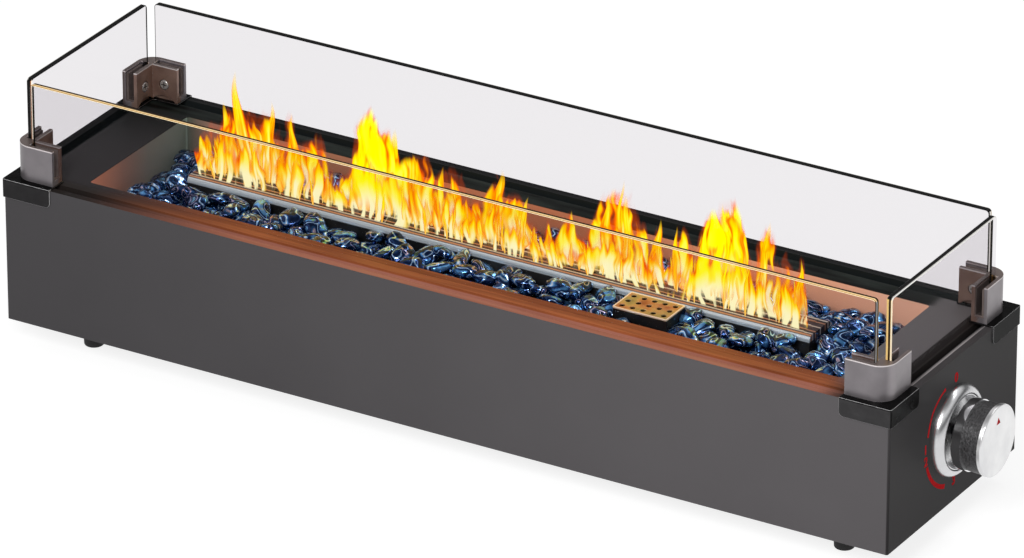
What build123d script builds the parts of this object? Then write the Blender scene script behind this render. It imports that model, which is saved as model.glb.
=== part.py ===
from build123d import *
import math
import os

# Tabletop gas fire pit: a folded steel trough on rubber feet, a drop-in fire tray with a straight
# burner in a bed of fire glass, and a four-pane wind guard held by clips on the corner caps.
# Everything is modelled in millimetres about the middle of the housing's footprint at table
# level: X runs along the length to the control knob, Y from the front to the back, Z up.
# write_node() then shifts each piece so that the origin is the bottom centre of the whole box.

# Shared: overshoot of cutting blocks, and the 4 mm screws that most pieces are held by
OVER = 1.0
SCREW_RADIUS = 2.0
SCREW_BORE = 2.1
RECESS_REACH = 0.6
RECESS_HALF_WIDTH = 0.35

# Housing: one folded sheet with a narrow lip, a groove inside it and a ledge for the tray
BODY_LENGTH = 711.0
BODY_DEPTH = 185.0
BODY_HEIGHT = 109.0
FOOT_HEIGHT = 22.0
SHEET = 1.2
BODY_EDGE_RADIUS = 1.5
LIP_WIDTH = 6.0
GROOVE_WIDTH = 8.0
GROOVE_DEPTH = 6.0
LEDGE_REACH = 22.0
FLANGE_WIDTH = 12.0
HALF_X = BODY_LENGTH / 2
HALF_Y = BODY_DEPTH / 2
BODY_BOTTOM = FOOT_HEIGHT
LIP_TOP = BODY_BOTTOM + BODY_HEIGHT
LEDGE_TOP = LIP_TOP - GROOVE_DEPTH
PANEL_INSIDE = HALF_X - SHEET
BASE_TOP = BODY_BOTTOM + 2 * SHEET
PANEL_HOLE_RADIUS = 12.0
BASE_GAP = 0.3
AIR_SLOT = (36.0, 5.0)
AIR_SLOT_PITCH = 20.0
AIR_SLOT_Y = 32.0
AIR_SLOTS_EACH_WAY = 11
BASE_SCREW_X = (-290.0, 0.0, 290.0)
BASE_SCREW = (3.6, 2.2, 8.0)

# Fire tray: a wide flat deck around a straight-walled well
DECK_TOP = LIP_TOP - 0.6
DECK_INSET = LIP_WIDTH + GROOVE_WIDTH
DECK_CORNER_RADIUS = 5.0
WELL_HALF_X = 302.0
WELL_HALF_Y = 64.3
WELL_CORNER_RADIUS = 3.0
WELL_DEPTH = 44.4
WELL_FLOOR = DECK_TOP - WELL_DEPTH
TRAY_UNDERSIDE = WELL_FLOOR - SHEET
DRAIN_RADIUS = 2.5
DRAIN_X = (-270.0, -90.0, 60.0, 270.0)
DRAIN_Y = (-50.0, 50.0)
IGNITER_HOLE_RADIUS = 3.6

# Bed of fire glass: heights of its surface above the tray floor, and the stones that stand proud of it
# in staggered rows, shaken by sines
BED_GAP = 0.5
BED_FRONT = 28.0
BED_AT_BURNER_FRONT = 34.0
BED_AT_BURNER_BACK = 26.0
BED_BACK = 21.0
BED_LEFT_END = 12.0
BED_LEFT_SLOPE = 50.0
BED_FLOOR_GAP = 0.2
BED_OVER_BRACKETS = 5.0
STONE_RADIUS = 10.0
STONE_SINK = 6.0
STONE_PITCH = 24.0
STONES_EACH_WAY = 12
STONE_ROWS = (-54.0, -39.0, -24.0, 0.0, 24.0, 39.0, 54.0)
STONE_SHAKE = (4.0, 3.0)

# Burner bar on two saddle brackets
BURNER_HALF_X = 250.0
BURNER_HALF_Y = 15.5
BURNER_BOTTOM = WELL_FLOOR + 6.0
BURNER_TOP = BURNER_BOTTOM + 35.6
BURNER_WALL = 1.0
BURNER_RADIUS = 4.0
END_PLATE = 1.2
PORT_RADIUS = 1.1
PORT_PITCH = 10.0
PORT_ROW_GAP = 7.0
PORTS_PER_ROW = 48
RIB_HEIGHT = 0.4
RIB_WIDTH = 1.2
RIB_INSET = 6.0
RIB_ROWS = (-10.8, -6.8, 0.0, 6.8, 10.8)
BRACKET_X = 200.0
BRACKET_HALF_WIDTH = 10.0
BRACKET_HALF_Y = 12.0
BRACKET_FOOT = 10.0
BRACKET_SCREW = (3.4, 2.2, 8.0)
BRACKET_NUT = (4.0, 3.2)

# Gas train in the space beyond the tray's right end
KNOB_Z = BODY_BOTTOM + 55.0
MIXER_Z = WELL_FLOOR + 14.0
MIXER_RADIUS = 7.5
MIXER_BORE = 6.3
MIXER_FIT = 0.3
MIXER_END = 322.0
MIXER_NUT = (12.0, 4.0)
AIR_PORT = (12.0, 4.0)
AIR_PORT_HALF_HEIGHT = 3.0
JET_END = 332.0
JET_COLLAR = 3.0
JET_TIP = (2.2, 9.0)
JET_HEX_RADIUS = 8.0
JET_BORE = 0.9
VALVE_LEFT = 310.0
VALVE_NECK_X = 344.0
VALVE_HALF_Y = 17.0
VALVE_HALF_Z = 13.5
VALVE_ROUND = 4.0
VALVE_WALL = 1.5
VALVE_NECK_RADIUS = 10.5
VALVE_EAR = (4.0, 25.0, 6.5)
STEM_RADIUS = 4.0
STEM_FIT = 0.05
STEM_INNER_END = 334.0
STEM_TIP_GAP = 3.0
STEM_FLAT_HEIGHT = 0.7
STEM_FLAT_START = 2.0
CHAMBER = (318.0, 338.0)
CHAMBER_RADIUS = 6.5
PLUNGER_DISC = (330.0, 333.6)
PLUNGER_DISC_RADIUS = 6.0
PLUNGER_ROD_RADIUS = 2.5
PLUNGER_ROD_END = 317.0
SPRING_RADIUS = 4.4
SPRING_WIRE = 0.45
SPRING_PITCH = 2.2
SPRING_GAP = 0.2
VALVE_SCREW_Y = 19.0
VALVE_SCREW = (3.2, 2.0, 1.9)
PIPE_RADIUS = 2.5
PIPE_BEND = 5.0
PIPE_PAST_JET = 11.0
PIPE_PAST_VALVE = 13.0
PIPE_VALVE_X = JET_END - 4.0
FLARE_NUT = (5.5, 8.0)
INLET_X = 322.0
INLET_Z = KNOB_Z - 9.0
INLET_THREAD_RADIUS = 7.94
INLET_REACH = 16.0
INLET_INSIDE = 14.0
INLET_CHAMFER = 1.0
INLET_NUT_DEPTH = 5.0
INLET_COLLAR = 5.0
INLET_BORE = 4.0
NUT_RADIUS = 11.0

# Igniter under its perforated cover, in front of the burner
IGNITER = (112.0, 155.0)
IGNITER_DEPTH = (-43.5, -16.5)
IGNITER_TOP = BURNER_TOP
COVER_SHEET = 0.8
COVER_ROUND = 1.6
COVER_HOLE_RADIUS = 2.0
COVER_HOLES = (5, 3)
COVER_HOLE_PITCH = 8.2
ELECTRODE_X = 127.0
PROBE_X = 141.0
IGNITER_Y = -30.0
IGNITER_PLATE_REACH = 8.0
SLEEVE_RADIUS = 3.2
SLEEVE_TOP = WELL_FLOOR + 20.0
PIN_RADIUS = 1.0
PIN_TOP = WELL_FLOOR + 32.0
PIN_BEND = 3.0
PIN_GAP = 2.0
PROBE_RADIUS = 2.0
PROBE_TOP = WELL_FLOOR + 34.0
LEAD_Z = TRAY_UNDERSIDE - 6.0
SPARK_LEAD_RADIUS = 1.5
PROBE_LEAD_RADIUS = 1.2
SPARK_RUN_Y = -40.0
PROBE_RUN_Y = -23.0
LEAD_SIDE = 8.0
LEAD_LEVEL_RUN = 24.0
LEAD_FALL_END = 52.0
LEAD_BENDS = (10.0, 14.0, 3.0, 3.0)
LEAD_CLIP_X = (182.0, 232.0)
LEAD_CLIP_HALF_LENGTH = 4.0
LEAD_CLIP_MARGIN = 4.5
LEAD_CLIP_UNDER = 3.0

# Corner caps, glass clips and glass, placed by their insets from the housing's faces
CAP_SHEET = 1.0
CAP_LENGTH = 39.0
CAP_ARM = 18.2
CAP_INNER_RADIUS = 3.0
CAP_DROP = 13.0
CAP_CORNER_RADIUS = 4.0
CAP_TOP = LIP_TOP + CAP_SHEET
CLIP_INSET = 5.0
CLIP_ARM = 33.0
CLIP_HEIGHT = 27.0
CLIP_CORNER_RADIUS = 13.0
SLOT = (7.6, 14.6)
SLOT_START = 17.0
SLOT_FLOOR = CAP_TOP + 4.0
CLIP_BACK = 17.2
CLIP_TOP = CAP_TOP + CLIP_HEIGHT
ARCH_RADIUS = 13.3
ARCH_RISE = 4.0
CLIP_MIDDLE = 26.8
CLIP_SCREW_Z = CAP_TOP + 12.4
CLIP_SCREW = (3.6, 1.7, 1.8)
CLIP_SCREW_HOLE = 1.9
CLIP_POCKET = (4.1, 1.6)
CAP_SCREW_INSET = 11.0
CAP_SCREW = (3.4, 2.2)
CAP_SCREW_REACH = 11.0
GLASS = (9.5, 14.1)
GLASS_GAP = 17.5
GLASS_BOTTOM = SLOT_FLOOR + 1.0
GLASS_TOP = BODY_BOTTOM + 183.2
GLASS_CORNER_RADIUS = 3.0
GLASS_EDGE = 0.6
PAD_START = 18.0
PAD_TOP = CLIP_TOP - 2.0
PAD_END_GAP = 1.0

# Control knob on the right end panel, as distances from the panel
BEZEL_RADIUS = 33.0
BEZEL_LIP_RADIUS = 28.6
BEZEL_DEPTH = 8.0
BEZEL_FLOOR = 1.5
BEZEL_HOLE = 10.6
BEZEL_RIM = 1.0
BEZEL_BULGE = (5.6, 1.5)
BEZEL_WALL = 1.4
BEZEL_ROLL = (0.2, 0.9)
BEZEL_RING = (25.9, 26.6)
BEZEL_RING_HEIGHT = 7.0
KNOB_REAR = 10.5
KNOB_RING_LENGTH = 7.2
KNOB_GRIP_FRONT = 30.8
KNOB_REACH = 34.0
KNOB_RING_RADIUS = 25.4
KNOB_RING_BORE = 20.0
KNOB_RING_CHAMFER = 0.8
KNOB_GRIP_RADII = (24.6, 25.2)
KNOB_FACE_RADIUS = 25.8
KNOB_FACE_ROUND = 0.9
KNOB_WEB = 4.0
KNOB_CROWN = 2.8
HUB_FIT = 0.02
HUB_RADIUS = 10.0
HUB_REAR = 12.5

# Feet
FOOT_INSET = (51.0, 33.7)
FOOT_RADII = (7.2, 8.2)
FOOT_ROUND = 1.5
FOOT_POCKET = (4.0, 8.0)
FOOT_SCREW = (3.6, 2.4)

CORNERS = {
    "front_left": (-1, -1),
    "front_right": (1, -1),
    "back_left": (-1, 1),
    "back_right": (1, 1),
}
BOX_X = ((HALF_X + KNOB_REACH) - (HALF_X + CAP_SHEET)) / 2
BOX_Y = ((HALF_Y + INLET_REACH) - (HALF_Y + CAP_SHEET)) / 2


def block(x, y, z):
    """A rectangular block between two values on each axis."""
    size = [high - low for low, high in (x, y, z)]
    middle = [(high + low) / 2 for low, high in (x, y, z)]
    return Pos(*middle) * Box(*size)


def rod_x(radius, x, y, z):
    """A round rod along X, between the two values in x."""
    return Pos((x[0] + x[1]) / 2, y, z) * Rot(0, 90, 0) * Cylinder(radius, x[1] - x[0])


def rod_y(radius, x, y, z):
    """A round rod along Y, between the two values in y."""
    return Pos(x, (y[0] + y[1]) / 2, z) * Rot(90, 0, 0) * Cylinder(radius, y[1] - y[0])


def rod_z(radius, x, y, z):
    """A round rod along Z, between the two values in z."""
    return Pos(x, y, (z[0] + z[1]) / 2) * Cylinder(radius, z[1] - z[0])


def hex_z(radius, z):
    """A hexagonal nut blank on the Z axis, between the two values in z."""
    return Pos(0, 0, z[0]) * extrude(RegularPolygon(radius, 6), z[1] - z[0])


def ring(outer_inset, inner_inset, z):
    """A rectangular frame, given by its insets from the housing's outer faces."""
    outer_x, outer_y = HALF_X - outer_inset, HALF_Y - outer_inset
    inner_x, inner_y = HALF_X - inner_inset, HALF_Y - inner_inset
    hole = block((-inner_x, inner_x), (-inner_y, inner_y), (z[0] - OVER, z[1] + OVER))
    return block((-outer_x, outer_x), (-outer_y, outer_y), z) - hole


def well(clearance, z, radius=WELL_CORNER_RADIUS):
    """A block with the plan shape of the tray's well, grown by clearance on each side."""
    half_x, half_y = WELL_HALF_X + clearance, WELL_HALF_Y + clearance
    shape = block((-half_x, half_x), (-half_y, half_y), z)
    return fillet(shape.edges().filter_by(Axis.Z), radius + clearance)


def corner_block(corner, u, v, z):
    """A block at one corner: u and v are insets from the end face and from the long face."""
    x = sorted(corner[0] * (HALF_X - inset) for inset in u)
    y = sorted(corner[1] * (HALF_Y - inset) for inset in v)
    return block(x, y, z)


def corner_point(corner, u, v, z=0.0):
    """The point at insets u and v of one corner."""
    return (corner[0] * (HALF_X - u), corner[1] * (HALF_Y - v), z)


def nearest_upright(shape, corner, inset):
    """The upright edge of a shape that is nearest to one corner's point at an equal inset from both faces."""
    return shape.edges().filter_by(Axis.Z).sort_by_distance(corner_point(corner, inset, inset, CAP_TOP))[0]


def revolved(outline, z=KNOB_Z):
    """A turned piece about the X axis at height z, from (x, radius) points off the end panel."""
    face = make_face(Polyline(*outline, close=True))
    return Pos(HALF_X, 0, z) * revolve(face, Axis.X)


def bent_rod(points, radius, bends):
    """A round bar along straight runs joined by tangent arcs."""
    path = FilletPolyline(*points, radius=bends)
    section = Plane(origin=path @ 0, z_dir=path % 0) * Circle(radius)
    return sweep(section, path=path)


def pan_screw(head_radius, head_height, shank_radius, shank_length):
    """A cross-recess pan-head screw: head above z = 0, shank below it."""
    head = rod_z(head_radius, 0, 0, (0, head_height))
    head = fillet(head.edges().sort_by(Axis.Z)[-1], 0.5 * head_height)
    reach, half_width = RECESS_REACH * head_radius, RECESS_HALF_WIDTH
    slot = block((-reach, reach), (-half_width, half_width), (0.5 * head_height, 2 * head_height))
    return head + rod_z(shank_radius, 0, 0, (-shank_length, 0)) - slot - Rot(0, 0, 90) * slot


def group(shapes):
    """Several separate solids in one node."""
    return Compound([solid for shape in shapes for solid in shape.solids()])


def foot_points():
    """Centres of the four feet and of their screws."""
    return [corner_point(corner, *FOOT_INSET) for corner in CORNERS.values()]


def base_screw_points():
    """Centres of the screws through the bottom flange."""
    y = HALF_Y - 0.6 * FLANGE_WIDTH
    return [(x, side * y, 0) for x in BASE_SCREW_X for side in (-1, 1)]


def cap_screw_points():
    """Centres of the screws that pull clip, cap and ledge together at each corner."""
    return [corner_point(corner, CAP_SCREW_INSET, CAP_SCREW_INSET) for corner in CORNERS.values()]


def bracket_screw_points():
    """Centres of the screws through the burner brackets' feet."""
    y = BRACKET_HALF_Y + 0.5 * BRACKET_FOOT
    return [(x * BRACKET_X, side * y, 0) for x in (-1, 1) for side in (-1, 1)]


# ---------------------------------------------------------------- housing

def housing_shell():
    """Folded steel trough: walls, top lip, groove, tray ledge and bottom flange."""
    shell = ring(0, SHEET, (BODY_BOTTOM, LIP_TOP))
    shell += ring(0, LIP_WIDTH, (LIP_TOP - SHEET, LIP_TOP))
    shell += ring(LIP_WIDTH - SHEET, LIP_WIDTH, (LEDGE_TOP - SHEET, LIP_TOP))
    shell += ring(LIP_WIDTH - SHEET, LEDGE_REACH, (LEDGE_TOP - SHEET, LEDGE_TOP))
    shell += ring(0, FLANGE_WIDTH, (BODY_BOTTOM, BODY_BOTTOM + SHEET))
    envelope = block((-HALF_X, HALF_X), (-HALF_Y, HALF_Y), (BODY_BOTTOM, LIP_TOP))
    shell &= fillet(envelope.edges().filter_by(Axis.Z), BODY_EDGE_RADIUS)
    panel = (PANEL_INSIDE - OVER, HALF_X + OVER)
    shell -= rod_x(PANEL_HOLE_RADIUS, panel, 0, KNOB_Z)
    shell -= [rod_x(SCREW_BORE, panel, side * VALVE_SCREW_Y, KNOB_Z) for side in (-1, 1)]
    shell -= rod_y(INLET_THREAD_RADIUS + BASE_GAP, INLET_X, (HALF_Y - 2 * SHEET, HALF_Y + OVER), INLET_Z)
    flange, ledge = (BODY_BOTTOM - OVER, BASE_TOP), (LEDGE_TOP - 2 * SHEET, LEDGE_TOP + OVER)
    shell -= [rod_z(SCREW_BORE, x, y, flange) for x, y, _ in base_screw_points()]
    shell -= [rod_z(SCREW_BORE, x, y, ledge) for x, y, _ in cap_screw_points()]
    return shell


def bottom_plate():
    """Flat cover on the bottom flange, with air slots under the burner and holes for the feet."""
    edge_x, edge_y = HALF_X - SHEET - BASE_GAP, HALF_Y - SHEET - BASE_GAP
    plate = block((-edge_x, edge_x), (-edge_y, edge_y), (BODY_BOTTOM + SHEET, BASE_TOP))
    slot = extrude(SlotOverall(*AIR_SLOT, rotation=90), 4 * SHEET)
    for step in range(-AIR_SLOTS_EACH_WAY, AIR_SLOTS_EACH_WAY + 1):
        plate -= [Pos(step * AIR_SLOT_PITCH, side * AIR_SLOT_Y, BODY_BOTTOM) * slot for side in (-1, 1)]
    holes = foot_points() + base_screw_points()
    plate -= [rod_z(SCREW_BORE, x, y, (BODY_BOTTOM, BASE_TOP + OVER)) for x, y, _ in holes]
    return plate


def foot(corner):
    """Tapered rubber foot with a counterbored screw hole."""
    x, y, _ = corner_point(corner, *FOOT_INSET)
    height = FOOT_HEIGHT + SHEET
    body = Pos(x, y, height / 2) * Cone(FOOT_RADII[0], FOOT_RADII[1], height)
    body = fillet(body.edges().sort_by(Axis.Z)[0], FOOT_ROUND)
    body -= rod_z(SCREW_BORE, x, y, (-OVER, height + OVER))
    pocket_radius, pocket_depth = FOOT_POCKET
    return body - rod_z(pocket_radius, x, y, (-OVER, pocket_depth))


def foot_screws():
    pocket_depth = FOOT_POCKET[1]
    shank = BASE_TOP + SHEET - pocket_depth
    screw = Rot(180, 0, 0) * pan_screw(*FOOT_SCREW, SCREW_RADIUS, shank)
    return group([Pos(x, y, pocket_depth) * screw for x, y, _ in foot_points()])


def base_screws():
    head_radius, head_height, shank = BASE_SCREW
    screw = Rot(180, 0, 0) * pan_screw(head_radius, head_height, SCREW_RADIUS, shank)
    return group([Pos(x, y, BODY_BOTTOM) * screw for x, y, _ in base_screw_points()])


# ---------------------------------------------------------------- tray and fire glass

def fire_tray():
    """Pressed tray: deck with a turned-down rim that stands on the ledge, and a deep well."""
    deck_x, deck_y = HALF_X - DECK_INSET, HALF_Y - DECK_INSET
    rim = block((-deck_x, deck_x), (-deck_y, deck_y), (LEDGE_TOP, DECK_TOP))
    rim = fillet(rim.edges().filter_by(Axis.Z), DECK_CORNER_RADIUS)
    inner_x, inner_y = deck_x - SHEET, deck_y - SHEET
    hollow = block((-inner_x, inner_x), (-inner_y, inner_y), (LEDGE_TOP - OVER, DECK_TOP - SHEET))
    rim -= fillet(hollow.edges().filter_by(Axis.Z), DECK_CORNER_RADIUS - SHEET)
    tray = rim + well(SHEET, (TRAY_UNDERSIDE, DECK_TOP)) - well(0, (WELL_FLOOR, DECK_TOP + OVER))
    tray -= rod_x(MIXER_RADIUS + MIXER_FIT, (WELL_HALF_X - OVER, WELL_HALF_X + 2 * SHEET), 0, MIXER_Z)
    through = (TRAY_UNDERSIDE - OVER, WELL_FLOOR + OVER)
    tray -= [rod_z(SCREW_BORE, x, y, through) for x, y, _ in bracket_screw_points()]
    tray -= [rod_z(IGNITER_HOLE_RADIUS, x, IGNITER_Y, through) for x in (ELECTRODE_X, PROBE_X)]
    tray -= [rod_z(DRAIN_RADIUS, x, y, through) for x in DRAIN_X for y in DRAIN_Y]
    return tray


def bed_profile():
    """The heap's surface across the well, front to back: (y, height above the tray floor)."""
    edge_y = WELL_HALF_Y - BED_GAP
    return [
        (-edge_y, BED_FRONT),
        (-BURNER_HALF_Y, BED_AT_BURNER_FRONT),
        (BURNER_HALF_Y, BED_AT_BURNER_BACK),
        (edge_y, BED_BACK),
    ]


def bed_height(x, y):
    """Height of the heap's surface above the tray floor at one point."""
    points = bed_profile()
    (y0, low), (y1, high) = next(pair for pair in zip(points, points[1:]) if y <= pair[1][0])
    end_share = (x + WELL_HALF_X) / BED_LEFT_SLOPE
    end_height = BED_LEFT_END + end_share * (BED_AT_BURNER_FRONT - BED_LEFT_END)
    return min(low + (high - low) * (y - y0) / (y1 - y0), end_height)


def proud_stones():
    """The stones that stand proud of the heap, each shaken a little off its place in its row."""
    stones = []
    for row, row_y in enumerate(STONE_ROWS):
        for step in range(-STONES_EACH_WAY, STONES_EACH_WAY + 1):
            x = (step + 0.5 * (row % 2)) * STONE_PITCH + STONE_SHAKE[0] * math.sin(7.4 * step + 5.3 * row)
            y = row_y + STONE_SHAKE[1] * math.sin(12.7 * step + 9.0 * row)
            z = WELL_FLOOR + bed_height(x, y) - STONE_SINK + math.sin(4.1 * step + 2.0 * row)
            stones.append(Pos(x, y, z) * Sphere(STONE_RADIUS))
    return stones


def fire_glass_bed():
    """The heap of fire glass as one body with its proud stones, open round burner, igniter and tube."""
    edge_x, edge_y = WELL_HALF_X - BED_GAP, WELL_HALF_Y - BED_GAP
    outline = bed_profile() + [(edge_y, BED_FLOOR_GAP), (-edge_y, BED_FLOOR_GAP)]
    profile = make_face(Polyline(*[(y, WELL_FLOOR + height) for y, height in outline], close=True))
    bed = extrude(Plane.YZ.offset(-edge_x) * profile, 2 * edge_x)
    slope = [
        (-edge_x - OVER, WELL_FLOOR + BED_LEFT_END),
        (-edge_x + BED_LEFT_SLOPE, WELL_FLOOR + BED_AT_BURNER_FRONT),
        (-edge_x - OVER, WELL_FLOOR + BED_AT_BURNER_FRONT),
    ]
    wedge = extrude(Plane.XZ * make_face(Polyline(*slope, close=True)), WELL_HALF_Y, both=True)
    bed = bed - wedge + proud_stones()
    bed &= well(-BED_GAP, (WELL_FLOOR + BED_FLOOR_GAP, DECK_TOP), WELL_CORNER_RADIUS)
    gap_x, gap_y = BURNER_HALF_X + END_PLATE + BED_GAP, BURNER_HALF_Y + BED_GAP
    whole_height = (WELL_FLOOR - OVER, DECK_TOP)
    bed -= block((-gap_x, gap_x), (-gap_y, gap_y), whole_height)
    tube = MIXER_RADIUS + 2 * BED_GAP
    bed -= block((gap_x - OVER, edge_x + OVER), (-tube, tube), (WELL_FLOOR - OVER, MIXER_Z + tube))
    cover_x = (IGNITER[0] - BED_GAP, IGNITER[1] + BED_GAP)
    bed -= block(cover_x, (IGNITER_DEPTH[0] - BED_GAP, -BURNER_HALF_Y), whole_height)
    foot_x = BRACKET_HALF_WIDTH + 2 * BED_GAP
    foot_y = BRACKET_HALF_Y + BRACKET_FOOT + BED_GAP
    foot_z = (WELL_FLOOR - OVER, WELL_FLOOR + BED_OVER_BRACKETS)
    for middle in (-BRACKET_X, BRACKET_X):
        bed -= block((middle - foot_x, middle + foot_x), (-foot_y, foot_y), foot_z)
    return bed


# ---------------------------------------------------------------- burner

def burner_bar():
    """Stainless bar burner: closed box section with rounded top edges, ribs and two port rows."""
    x = (-BURNER_HALF_X, BURNER_HALF_X)
    body = block(x, (-BURNER_HALF_Y, BURNER_HALF_Y), (BURNER_BOTTOM, BURNER_TOP))
    top_edges = body.edges().filter_by(Axis.X).sort_by(Axis.Z)[-2:]
    body = fillet(top_edges, BURNER_RADIUS)
    inner_y = BURNER_HALF_Y - BURNER_WALL
    inner_z = (BURNER_BOTTOM + BURNER_WALL, BURNER_TOP - BURNER_WALL)
    hollow = block((x[0] - OVER, x[1] + OVER), (-inner_y, inner_y), inner_z)
    hollow = fillet(hollow.edges().filter_by(Axis.X).sort_by(Axis.Z)[-2:], BURNER_RADIUS - BURNER_WALL)
    body -= hollow
    rib_z = (BURNER_TOP - 0.5 * BURNER_WALL, BURNER_TOP + RIB_HEIGHT)
    for y in RIB_ROWS:
        body += block((x[0] + RIB_INSET, x[1] - RIB_INSET), (y - RIB_WIDTH / 2, y + RIB_WIDTH / 2), rib_z)
    ports = GridLocations(PORT_PITCH, PORT_ROW_GAP, PORTS_PER_ROW, 2)
    return body - [Pos(0, 0, BURNER_TOP) * place * Cylinder(PORT_RADIUS, 4 * BURNER_WALL) for place in ports]


def burner_end_plates():
    """Two plates that close the bar; the right one carries the mixer tube."""
    plate = block((0, END_PLATE), (-BURNER_HALF_Y, BURNER_HALF_Y), (BURNER_BOTTOM, BURNER_TOP))
    plate = fillet(plate.edges().filter_by(Axis.X).sort_by(Axis.Z)[-2:], BURNER_RADIUS)
    right = Pos(BURNER_HALF_X, 0, 0) * plate
    right -= rod_x(MIXER_RADIUS, (BURNER_HALF_X - OVER, BURNER_HALF_X + END_PLATE + OVER), 0, MIXER_Z)
    return group([Pos(-BURNER_HALF_X - END_PLATE, 0, 0) * plate, right])


def burner_brackets():
    """Two saddles that hold the bar off the tray floor."""
    saddles = []
    inner_y, foot_y = BRACKET_HALF_Y - SHEET, BRACKET_HALF_Y + BRACKET_FOOT
    through = (WELL_FLOOR - OVER, WELL_FLOOR + 2 * SHEET)
    for middle in (-BRACKET_X, BRACKET_X):
        x = (middle - BRACKET_HALF_WIDTH, middle + BRACKET_HALF_WIDTH)
        saddle = block(x, (-BRACKET_HALF_Y, BRACKET_HALF_Y), (WELL_FLOOR, BURNER_BOTTOM))
        inside_z = (WELL_FLOOR - OVER, BURNER_BOTTOM - SHEET)
        saddle -= block((x[0] - OVER, x[1] + OVER), (-inner_y, inner_y), inside_z)
        for y in ((BRACKET_HALF_Y, foot_y), (-foot_y, -BRACKET_HALF_Y)):
            saddle += block(x, y, (WELL_FLOOR, WELL_FLOOR + SHEET))
        saddle -= [rod_z(SCREW_BORE, px, py, through) for px, py, _ in bracket_screw_points()]
        saddles.append(saddle)
    return group(saddles)


def burner_screws():
    head_radius, head_height, shank = BRACKET_SCREW
    screw = pan_screw(head_radius, head_height, SCREW_RADIUS, shank)
    return group([Pos(x, y, WELL_FLOOR + SHEET) * screw for x, y, _ in bracket_screw_points()])


def burner_nuts():
    radius, depth = BRACKET_NUT
    nut = hex_z(radius, (-depth, 0)) - rod_z(SCREW_RADIUS, 0, 0, (-depth - OVER, OVER))
    return group([Pos(x, y, TRAY_UNDERSIDE) * nut for x, y, _ in bracket_screw_points()])


def mixer_tube():
    """Tube that carries gas and air through the tray's end wall into the bar."""
    tube = rod_x(MIXER_RADIUS, (BURNER_HALF_X, MIXER_END), 0, MIXER_Z)
    tube -= rod_x(MIXER_BORE, (BURNER_HALF_X - OVER, MIXER_END + OVER), 0, MIXER_Z)
    port_x = (MIXER_END - AIR_PORT[0], MIXER_END - AIR_PORT[1])
    port_y = (-2 * MIXER_RADIUS, 2 * MIXER_RADIUS)
    return tube - block(port_x, port_y, (MIXER_Z - AIR_PORT_HALF_HEIGHT, MIXER_Z + AIR_PORT_HALF_HEIGHT))


def mixer_nut():
    """Lock nut that holds the mixer tube to the tray's end wall."""
    radius, depth = MIXER_NUT
    nut = hex_z(radius, (0, depth)) - rod_z(MIXER_RADIUS, 0, 0, (-OVER, depth + OVER))
    return Pos(WELL_HALF_X + SHEET, 0, MIXER_Z) * Rot(0, 90, 0) * nut


def gas_jet():
    """Brass jet in the open end of the mixer tube, with a hexagon for its spanner."""
    tip_radius, tip_length = JET_TIP
    body = rod_x(MIXER_BORE, (MIXER_END - JET_COLLAR, MIXER_END), 0, MIXER_Z)
    body += rod_x(tip_radius, (MIXER_END - tip_length, MIXER_END), 0, MIXER_Z)
    body += Pos(MIXER_END, 0, MIXER_Z) * Rot(0, 90, 0) * hex_z(JET_HEX_RADIUS, (0, JET_END - MIXER_END))
    return body - rod_x(JET_BORE, (MIXER_END - tip_length - OVER, JET_END + OVER), 0, MIXER_Z)


# ---------------------------------------------------------------- valve and pipes

def gas_valve_body():
    """Die-cast valve with a chamber for the plunger, a stem neck and two screw ears."""
    z = (KNOB_Z - VALVE_HALF_Z, KNOB_Z + VALVE_HALF_Z)
    body = block((VALVE_LEFT, VALVE_NECK_X), (-VALVE_HALF_Y, VALVE_HALF_Y), z)
    body = fillet(body.edges().filter_by(Axis.X), VALVE_ROUND)
    body += rod_x(VALVE_NECK_RADIUS, (VALVE_NECK_X, HALF_X), 0, KNOB_Z)
    depth, half_y, half_z = VALVE_EAR
    body += block((PANEL_INSIDE - depth, PANEL_INSIDE), (-half_y, half_y), (KNOB_Z - half_z, KNOB_Z + half_z))
    body -= rod_x(CHAMBER_RADIUS, CHAMBER, 0, KNOB_Z)
    body -= rod_x(STEM_RADIUS + STEM_FIT, (CHAMBER[1] - OVER, HALF_X + OVER), 0, KNOB_Z)
    body -= rod_x(PLUNGER_ROD_RADIUS + STEM_FIT, (VALVE_LEFT + VALVE_WALL, CHAMBER[0] + OVER), 0, KNOB_Z)
    ears = (PANEL_INSIDE - depth - OVER, PANEL_INSIDE + OVER)
    return body - [rod_x(VALVE_SCREW[2], ears, side * VALVE_SCREW_Y, KNOB_Z) for side in (-1, 1)]


def valve_screws():
    screw = Rot(0, 90, 0) * pan_screw(*VALVE_SCREW, BEZEL_FLOOR + SHEET + VALVE_EAR[0])
    return group([Pos(HALF_X + BEZEL_FLOOR, side * VALVE_SCREW_Y, KNOB_Z) * screw for side in (-1, 1)])


def valve_plunger():
    """Sliding plunger that the stem pushes in; it doesn't turn."""
    disc = rod_x(PLUNGER_DISC_RADIUS, PLUNGER_DISC, 0, KNOB_Z)
    return disc + rod_x(PLUNGER_ROD_RADIUS, (PLUNGER_ROD_END, PLUNGER_DISC[0]), 0, KNOB_Z)


def valve_stem():
    """Turning stem with a flat for the knob."""
    tip = HALF_X + KNOB_GRIP_FRONT - STEM_TIP_GAP
    stem = rod_x(STEM_RADIUS, (STEM_INNER_END, tip), 0, KNOB_Z)
    flat = (KNOB_Z + STEM_FLAT_HEIGHT * STEM_RADIUS, KNOB_Z + 2 * STEM_RADIUS)
    return stem - block((HALF_X + HUB_REAR + STEM_FLAT_START, tip + OVER), (-STEM_RADIUS, STEM_RADIUS), flat)


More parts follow.
